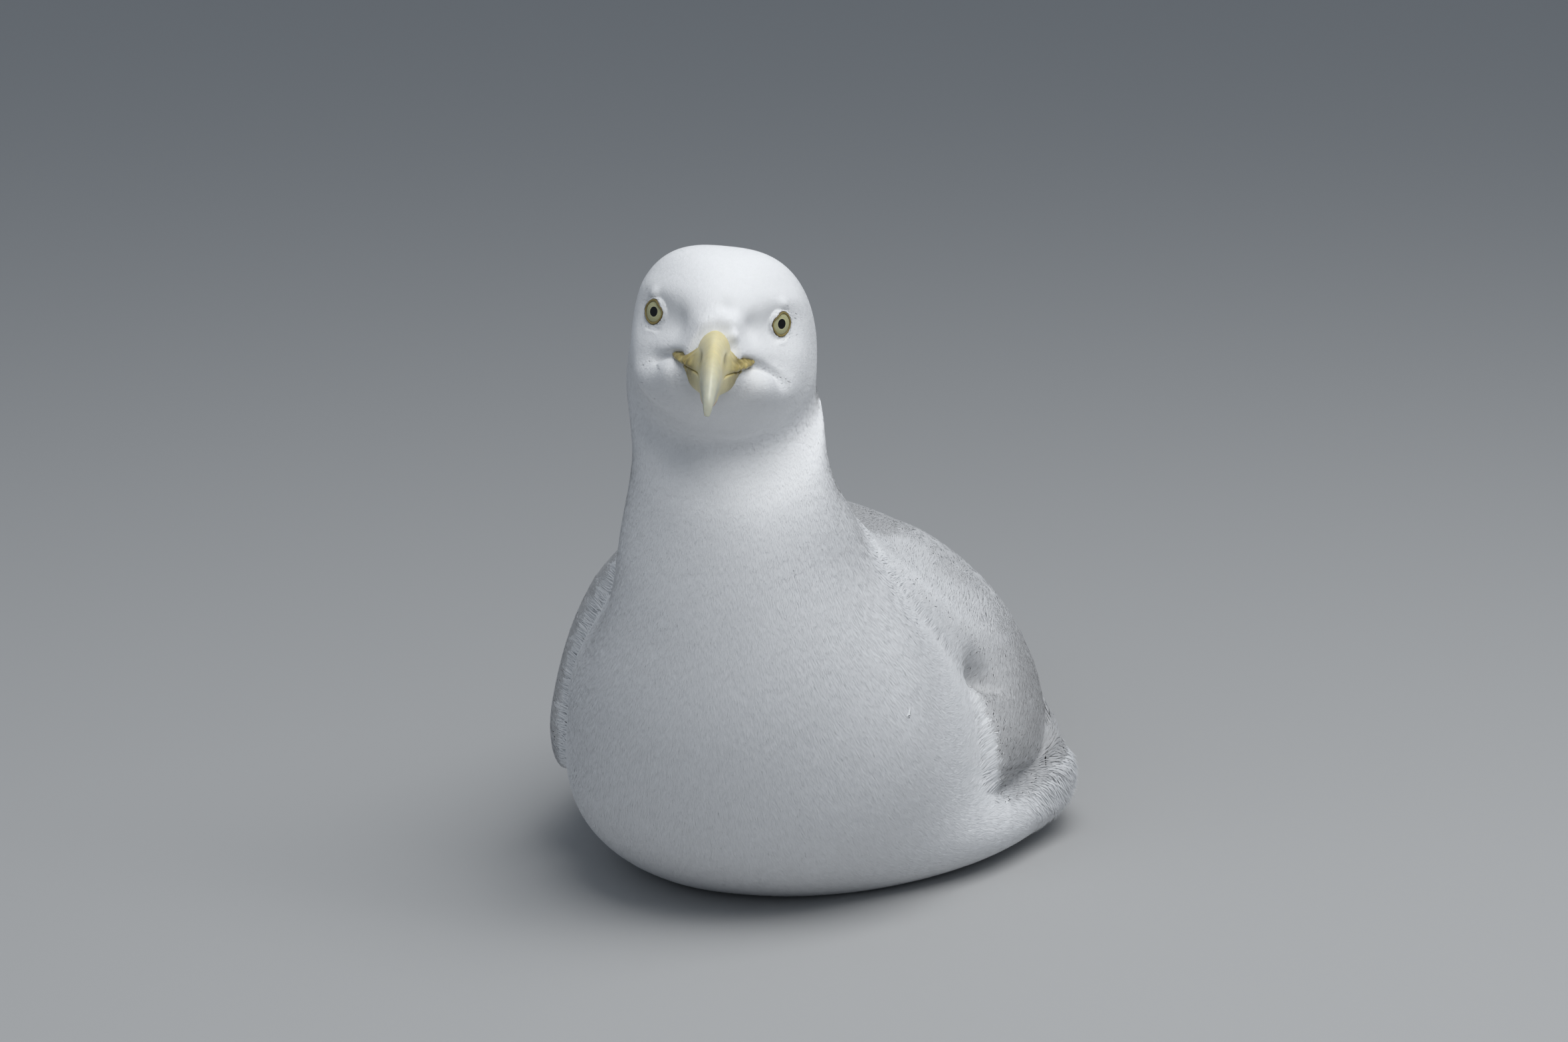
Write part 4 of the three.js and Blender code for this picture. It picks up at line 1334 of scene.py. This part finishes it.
def long_feathers(blade, rows):
    """Long feathers inside a blade. Each row is one feather: where it starts and ends along the blade,
    where it starts and ends across it (-1 to 1), its half-width in millimetres, its layer (-1 lowest
    to 1 highest), and how much of it is black and white at the tip. A feather is a closed thin
    sheet: a flat ring at each step, across by the ring's cosine and thick by its sine, with a
    raised shaft, a round tip, a slight camber, and a root that narrows and sinks."""
    v = np.linspace(0, 1, FEATHER_STEPS)[:, None]
    turn = circle(FEATHER_SIDES)[None, :]
    u, rise = np.cos(turn), np.sin(turn)
    full = np.ones((FEATHER_STEPS, FEATHER_SIDES))
    points, faces, uv = [], ([], []), []
    marks = {"along": [], "across": [], "black": [], "white": [], "tone": []}
    size = FEATHER_STEPS * FEATHER_SIDES + 2
    for index, (s_from, s_to, c_from, c_to, wide_by, layer, black_from, white_tip) in enumerate(rows):
        s = s_from + (s_to - s_from) * v * full
        middle, wide, up, half, thick, bend = blade_frame(blade, s)
        outline = rounded(v + 0.06, 0.3) * rounded(1.004 - v, 0.13)
        place = (c_from + (c_to - c_from) * v) * half + u * wide_by * outline
        share = np.clip(place / half, -1.15, 1.15)
        camber = 0.06 * wide_by * (1 - u**2) * outline
        sheet = SHEET * rise * rounded(1.004 - v, 0.03) * rounded(v + 0.002, 0.03)
        shaft = 0.25 * bell(u, 0.1) * smooth(1, 0.9, v) * (rise > 0)
        height = (thick - 0.5) * layer - bend * share**2 + camber + sheet + shaft
        height = height - 1.5 * smooth(0.16, 0, v)
        surface = middle + wide * place[..., None] + up * height[..., None]
        flat, own_faces = capped(surface.reshape(-1, 3), FEATHER_STEPS, FEATHER_SIDES)
        points.append(flat)
        for kind, own in zip(faces, own_faces):
            kind.append(own + index * size)
        strip = (index + 0.5 + 0.42 * u * full) / len(rows)
        span = (0.25 + 0.24 * (2 * v - 1)) * full + 0.5 * (rise < 0)
        middle_uv = [[(index + 0.5) / len(rows), 0.01], [(index + 0.5) / len(rows), 0.49]]
        uv.append(np.concatenate([np.stack([strip.ravel(), span.ravel()], 1), middle_uv]))
        for label, value in (
            ("along", v * full),
            ("across", u * full),
            ("tone", full * (index * GOLDEN % 1)),
            ("black", smooth(black_from - 0.04, black_from + 0.04, v + 0.03 * np.abs(u))),
            ("white", smooth(1 - white_tip - 0.01, 1 - white_tip + 0.01, v + 0.02 * u**2)),
        ):
            marks[label].append(np.append(value, [value[0].mean(), value[-1].mean()]))
    marks = {label: np.concatenate(values) for label, values in marks.items()}
    return np.concatenate(points), [np.concatenate(kind) for kind in faces], np.concatenate(uv), marks


NEVER = 2.0  # past a feather's tip, where no black starts


def tail_rows():
    """Twelve tail feathers: the middle pair on top, the outer ones lower and fanned a little."""
    rows = []
    for i in range(12):
        place = (i - 5.5) / 5.5
        layer = 0.9 - 1.7 * abs(place)
        rows.append((0.0, 1 - 0.03 * abs(place), 0.50 * place, 0.70 * place, 9.5, layer, NEVER, 0.0))
    return rows


def primary_rows():
    """Seven primaries: the longest lowest, each shorter one above and further in."""
    rows = []
    for i in range(7):
        end = 1.0 - 0.075 * i - 0.012 * i * (i > 3)
        place = 0.05 - 0.06 * i
        rows.append((0.02, end, place - 0.25, place, 7.6 + 0.55 * i, -0.9 + 0.3 * i, 0.34, 0.026))
    return rows


def tertial_rows():
    """Secondaries low down and five tertials over them, with white ends."""
    rows = []
    for i in range(5):
        rows.append((0.06, 0.80 - 0.06 * i, 0.45 + 0.10 * i, 0.62 + 0.05 * i, 7.5,
                     -0.8 + 0.1 * i, NEVER, 0.06))
    for i in range(5):
        rows.append((0.04, 1.0 - 0.10 * i, -0.05 - 0.17 * i, 0.02 - 0.15 * i, 9.0 + 0.9 * i,
                     -0.2 + 0.28 * i, NEVER, 0.07 + 0.005 * i))
    return rows


class GULL_OT_flight_feathers(bpy.types.Operator):
    """Make the tail feathers, the tertials and secondaries, and the primaries"""

    bl_idname = "gull.flight_feathers"
    bl_label = "Flight feathers"

    def execute(self, context):
        white = material_of("white tail feathers", flight_look, "white")
        grey = material_of("grey flight feathers", flight_look, "grey")
        made = long_feathers(TAIL_BLADE, tail_rows())
        make_piece("tail_feathers", made, white, "white_plumage", "tail")
        for side, word in ((1, "left"), (-1, "right")):
            made = long_feathers(tertial_blade(side), tertial_rows())
            make_piece(f"tertial_feathers_{word}", made, grey, "grey_plumage", f"tertials_{word}")
            made = long_feathers(primary_blade(side), primary_rows())
            make_piece(f"primary_feathers_{word}", made, grey, "black_plumage", f"primaries_{word}")
        return {"FINISHED"}


# ---- Bill ----
# Sections in the head's frame: y, the two heights, and the half-widths at the edge and the ridge.

UPPER_BILL = (
    (-13, 1, -11.5, 16, 6.6), (-21, 0.8, -12, 14.6, 6.1), (-28, 0.5, -12.6, 10.8, 5.4),
    (-36, 0.2, -13, 5.8, 4.7), (-46, -0.4, -13.4, 4.5, 4.1), (-58, -2.4, -13.8, 3.8, 3.7),
    (-68, -7, -15, 2.6, 2.8), (-74.5, -13.5, -18.5, 1.5, 1.7), (-76, -18.5, -20.5, 0.8, 0.8),
)
LOWER_BILL = (
    (-13, -11.6, -21.5, 14.2, 0), (-21, -11.8, -21.5, 12.4, 0), (-29, -12.2, -21, 8.9, 0),
    (-40, -12.7, -20.6, 4.8, 0), (-52, -13.2, -20.9, 3.7, 0), (-60, -13.7, -20, 2.7, 0),
    (-68, -15.2, -17.8, 1.4, 0),
)
END_UV = [[0.5, 0], [0.5, 1]]  # of the middle points that shut a closed piece
BILL_STEPS = 120
BILL_SIDES = 72


def mandible(rows, upper):
    """One half of the bill: sections along the line through its rows. The upper one is a round ridge
    that flares to a flat underside, with a nostril drawn in on each side; the lower one is flat
    above and keeled below. Both have wrinkled flaps at the gape and a round tip."""
    s = np.linspace(0, 1, BILL_STEPS)[:, None]
    turn = circle(BILL_SIDES, 0.5)[None, :]
    y, high, low, wide, narrow = np.moveaxis(smooth_line(rows, s + 0 * turn), -1, 0)
    c, h = np.cos(turn), np.sin(turn)
    if upper:
        z = signed_power(h, np.where(h > 0, 1.15, 0.28))
        flare = narrow + (wide - narrow) * smooth(0.15, -0.9, z)
        x = flare * signed_power(c, np.where(h > 0, 1.15, 0.35))
    else:
        z = signed_power(h, np.where(h > 0, 0.15, 0.95))
        x = wide * signed_power(c, np.where(h > 0, 0.35, 0.6)) * (0.87 + 0.13 * z)
    tip = rounded(1.002 - s, 0.06)
    x = x * tip
    z = (high + low) / 2 + (high - low) / 2 * z * tip
    flap = smooth(5.5, 9, np.abs(x)) * smooth(-40, -30, y)
    wrinkle = np.sin(1.3 * y + 0.9 * x) * np.sin(1.8 * z - 0.7 * y) + 0.5 * np.sin(2.2 * y - 1.6 * z)
    y = y - 0.3 * flap * wrinkle
    z = z + 0.2 * flap * wrinkle
    points = np.stack([x, y, z], -1)
    nostril = np.zeros(x.shape)
    if upper:
        slope = z + 6.0 - 0.06 * (y + 39)
        nostril = bell(y + 38.5, 3.4) * bell(slope, 0.8) * (np.abs(x) > 1.5)
        groove = bell(y + 42, 9) * bell(slope + 0.3, 2.0)
        points[..., 0] -= np.sign(x) * (1.1 * nostril + 0.3 * groove)
    return points, nostril


def bill_piece(name, rows, upper, node):
    """Makes a closed mandible with the marks that its material reads."""
    points, nostril = mandible(rows, upper)
    local = points.reshape(-1, 3)
    flat, faces = capped(from_head(local), BILL_STEPS, BILL_SIDES)
    ends = np.stack([points[0].mean(0), points[-1].mean(0)])
    local = np.concatenate([local, ends])
    i, j = np.meshgrid(np.linspace(0, 1, BILL_STEPS), np.linspace(0, 1, BILL_SIDES), indexing="ij")
    uv = np.concatenate([np.stack([j.ravel(), i.ravel()], 1), END_UV])
    marks = {
        "nostril": np.append(nostril, [0, 0]),
        "forward": -local[:, 1], "height": local[:, 2], "sideways": np.abs(local[:, 0]),
    }
    make_piece(name, (flat, faces, uv, marks), material_of("bill horn", bill_look), "bill_horn", node)


class GULL_OT_bill(bpy.types.Operator):
    """Make the two halves of the bill"""

    bl_idname = "gull.bill"
    bl_label = "Bill"

    def execute(self, context):
        bill_piece("upper_mandible", UPPER_BILL, True, "bill_upper")
        bill_piece("lower_mandible", LOWER_BILL, False, "bill_lower")
        return {"FINISHED"}


# ---- Eyes ----

RING_TUBE = 0.42  # the half thickness of the ring's roll


def eyeball(centre, look):
    """A ball whose front lies as a shallow dome in the opening of the lids: its radius dips there by a
    bell of the angle from the front. Its rings are closer together in front."""
    rings, sides = 72, 72
    share = np.linspace(0.004, 0.999, rings)[:, None]
    polar = np.pi * share**1.5
    turn = circle(sides)[None, :]
    radius = EYE_RADIUS - 0.12 - 0.6 * bell(np.degrees(polar), 22)
    out, ahead = np.sin(polar), np.cos(polar) + 0 * turn
    local = np.stack([out * np.cos(turn), out * np.sin(turn), ahead], -1)
    points = (local * radius[..., None]).reshape(-1, 3) @ eye_axes(look).T + centre
    flat, faces = capped(from_head(points), rings, sides)
    degrees = np.append(np.repeat(np.degrees(polar[:, 0]), sides), [0, 180])
    round_share = np.tile(np.arange(sides) / sides, rings)
    uv = np.concatenate([np.stack([round_share, np.repeat(share[:, 0], sides)], 1), END_UV])
    marks = {"polar": degrees, "turn": np.append(round_share, [0, 0])}
    return flat, [kind[:, ::-1] for kind in faces], uv, marks


def orbital_ring(side, centre, look):
    """The bare ring of skin round the opening: a tube along the lids' edge on the ball, thicker above
    and below, with fine wrinkles across it."""
    turns, sides = 160, 16
    a, b = circle(turns)[:, None], circle(sides)[None, :]
    radius = lid_radius(-side * np.cos(a), np.sin(a))
    height = np.sqrt(EYE_RADIUS**2 - radius**2) - 0.05
    tube = RING_TUBE * (1 + 0.3 * np.sin(a) ** 4 + 0.12 * np.sin(a * 31) * np.sin(a * 17 + 1))
    out = radius + tube * np.cos(b)
    up = height + tube * 0.9 * np.sin(b)
    local = np.stack([out * np.cos(a), out * np.sin(a), up + 0 * a], -1)
    points = local.reshape(-1, 3) @ eye_axes(look).T + centre
    i, j = np.meshgrid(np.arange(turns), np.arange(sides), indexing="ij")
    k, m = (i + 1) % turns, (j + 1) % sides
    faces = np.stack([i * sides + j, k * sides + j, k * sides + m, i * sides + m], -1).reshape(-1, 4)
    uv = np.stack([i.ravel() / turns, j.ravel() / sides], 1)
    # how far round the roll each point lies, from which the ring's material paints shade on its flanks
    rim = np.repeat(np.cos(b), turns, 0).ravel()
    return from_head(points), [faces], uv, {"rim": rim}


class GULL_OT_eyes(bpy.types.Operator):
    """Make the eyeballs and the bare rings of skin round them"""

    bl_idname = "gull.eyes"
    bl_label = "Eyes"

    def execute(self, context):
        eye, ring = material_of("gull eye", eye_look), material_of("orbital ring skin", ring_look)
        for (side, centre, look), word in zip(EYES, ("left", "right")):
            gaze = unit(EYE_GAZE * (side, 1, 1))
            make_piece(f"eyeball_{word}", eyeball(centre, gaze), eye, "eye", f"eye_{word}")
            make_piece(f"orbital_ring_{word}", orbital_ring(side, centre, look), ring, "bill_horn")
        return {"FINISHED"}


class GULL_OT_feet(bpy.types.Operator):
    """Finish the folded feet under the belly"""

    bl_idname = "gull.feet"
    bl_label = "Feet"

    def execute(self, context):
        material = material_of("leg and web skin", foot_look)
        for word in ("left", "right"):
            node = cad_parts[f"leg_{word}"]
            node.data.materials.clear()
            node.data.materials.append(material)
        return {"FINISHED"}


# ---- The stage ----

AIM = np.array([0.010, -0.030, 0.1405])  # the point that the camera looks at, in metres
FLOOR_HALF = 12.0


def area_light(name, place, size, power, colour):
    """Makes a square soft light at a place, turned to the bird."""
    data = bpy.data.lights.new(name, "AREA")
    data.shape = "SQUARE"
    data.size = size
    data.energy = power
    data.color = colour
    lamp = bpy.data.objects.new(name, data)
    bpy.context.scene.collection.objects.link(lamp)
    look_at(lamp, np.array(place), np.array([0, 0, 0.1]))


def look_at(thing, place, aim):
    """Puts a light or a camera at a place and turns it to face a point, its own up towards +Z."""
    back = unit(place - aim)
    right = unit(np.cross((0, 0, 1.0), back))
    up = np.cross(back, right)
    matrix = np.eye(4)
    matrix[:3, 0], matrix[:3, 1], matrix[:3, 2], matrix[:3, 3] = right, up, back, place
    thing.matrix_world = Matrix(matrix)


class GULL_OT_stage(bpy.types.Operator):
    """Make the floor, the lights, the sky and the camera"""

    bl_idname = "gull.stage"
    bl_label = "Stage"

    def execute(self, context):
        stage = context.scene.gull_stage
        corners = np.array([[-1, -1, 0], [1, -1, 0], [1, 1, 0], [-1, 1, 0]]) * FLOOR_HALF
        floor = new_mesh("floor", corners / MM, [np.array([[0, 1, 2, 3]])])
        material = material_of("pale floor", shade, FLOOR_GREY, {"Roughness": 0.9})
        floor.data.materials.append(material)
        floor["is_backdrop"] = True
        world = bpy.data.worlds.new("sky")
        context.scene.world = world
        world.use_nodes = True
        sky = world.node_tree.nodes["Background"].inputs
        sky["Color"].default_value = (0.78, 0.88, 1.0, 1)
        sky["Strength"].default_value = 0.28
        area_light("soft key light", (0.52, -0.38, 1.54), 1.3, 20, (1.0, 0.99, 0.97))
        area_light("soft front light", (0.9, -2.0, 1.1), 1.4, 1, (0.97, 0.98, 1.0))
        turn, rise = stage.turn, stage.rise
        way = (math.sin(turn) * math.cos(rise), -math.cos(turn) * math.cos(rise), math.sin(rise))
        data = bpy.data.cameras.new("camera")
        data.sensor_width = 36
        data.lens = stage.focal
        camera = bpy.data.objects.new("camera", data)
        context.scene.collection.objects.link(camera)
        look_at(camera, AIM + np.array(way) * stage.distance, AIM)
        context.scene.camera = camera
        context.scene.view_settings.view_transform = "Standard"
        return {"FINISHED"}


class GULL_PT_pieces(bpy.types.Panel):
    """The list of the model's pieces, in the order in which they are made"""

    bl_idname = "GULL_PT_pieces"
    bl_label = "Resting gull"
    bl_space_type = "VIEW_3D"
    bl_region_type = "UI"
    bl_category = "Gull"

    def draw(self, context):
        layout = self.layout
        for operator in PIECES:
            layout.operator(operator.bl_idname, icon="MESH_DATA")
        for settings in (context.scene.gull_plumage, context.scene.gull_stage):
            box = layout.box()
            for name in settings.__annotations__:
                box.prop(settings, name)


PIECES = (
    GULL_OT_skin, GULL_OT_coat, GULL_OT_coverts, GULL_OT_flight_feathers, GULL_OT_bill, GULL_OT_eyes,
    GULL_OT_feet, GULL_OT_stage,
)
CLASSES = (GullPlumage, GullStage, *PIECES, GULL_PT_pieces)


def register():
    for cls in CLASSES:
        bpy.utils.register_class(cls)
    bpy.types.Scene.gull_plumage = bpy.props.PointerProperty(type=GullPlumage)
    bpy.types.Scene.gull_stage = bpy.props.PointerProperty(type=GullStage)


def unregister():
    del bpy.types.Scene.gull_stage
    del bpy.types.Scene.gull_plumage
    for cls in reversed(CLASSES):
        bpy.utils.unregister_class(cls)


def main():
    """Makes every piece and the stage, in order."""
    register()
    for piece in PIECES:
        getattr(bpy.ops.gull, piece.bl_idname.removeprefix("gull."))()
    boxes = [[list(corner) for corner in box] for box in (CAD_BOX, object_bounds())]


if __name__ == "__main__":
    main()
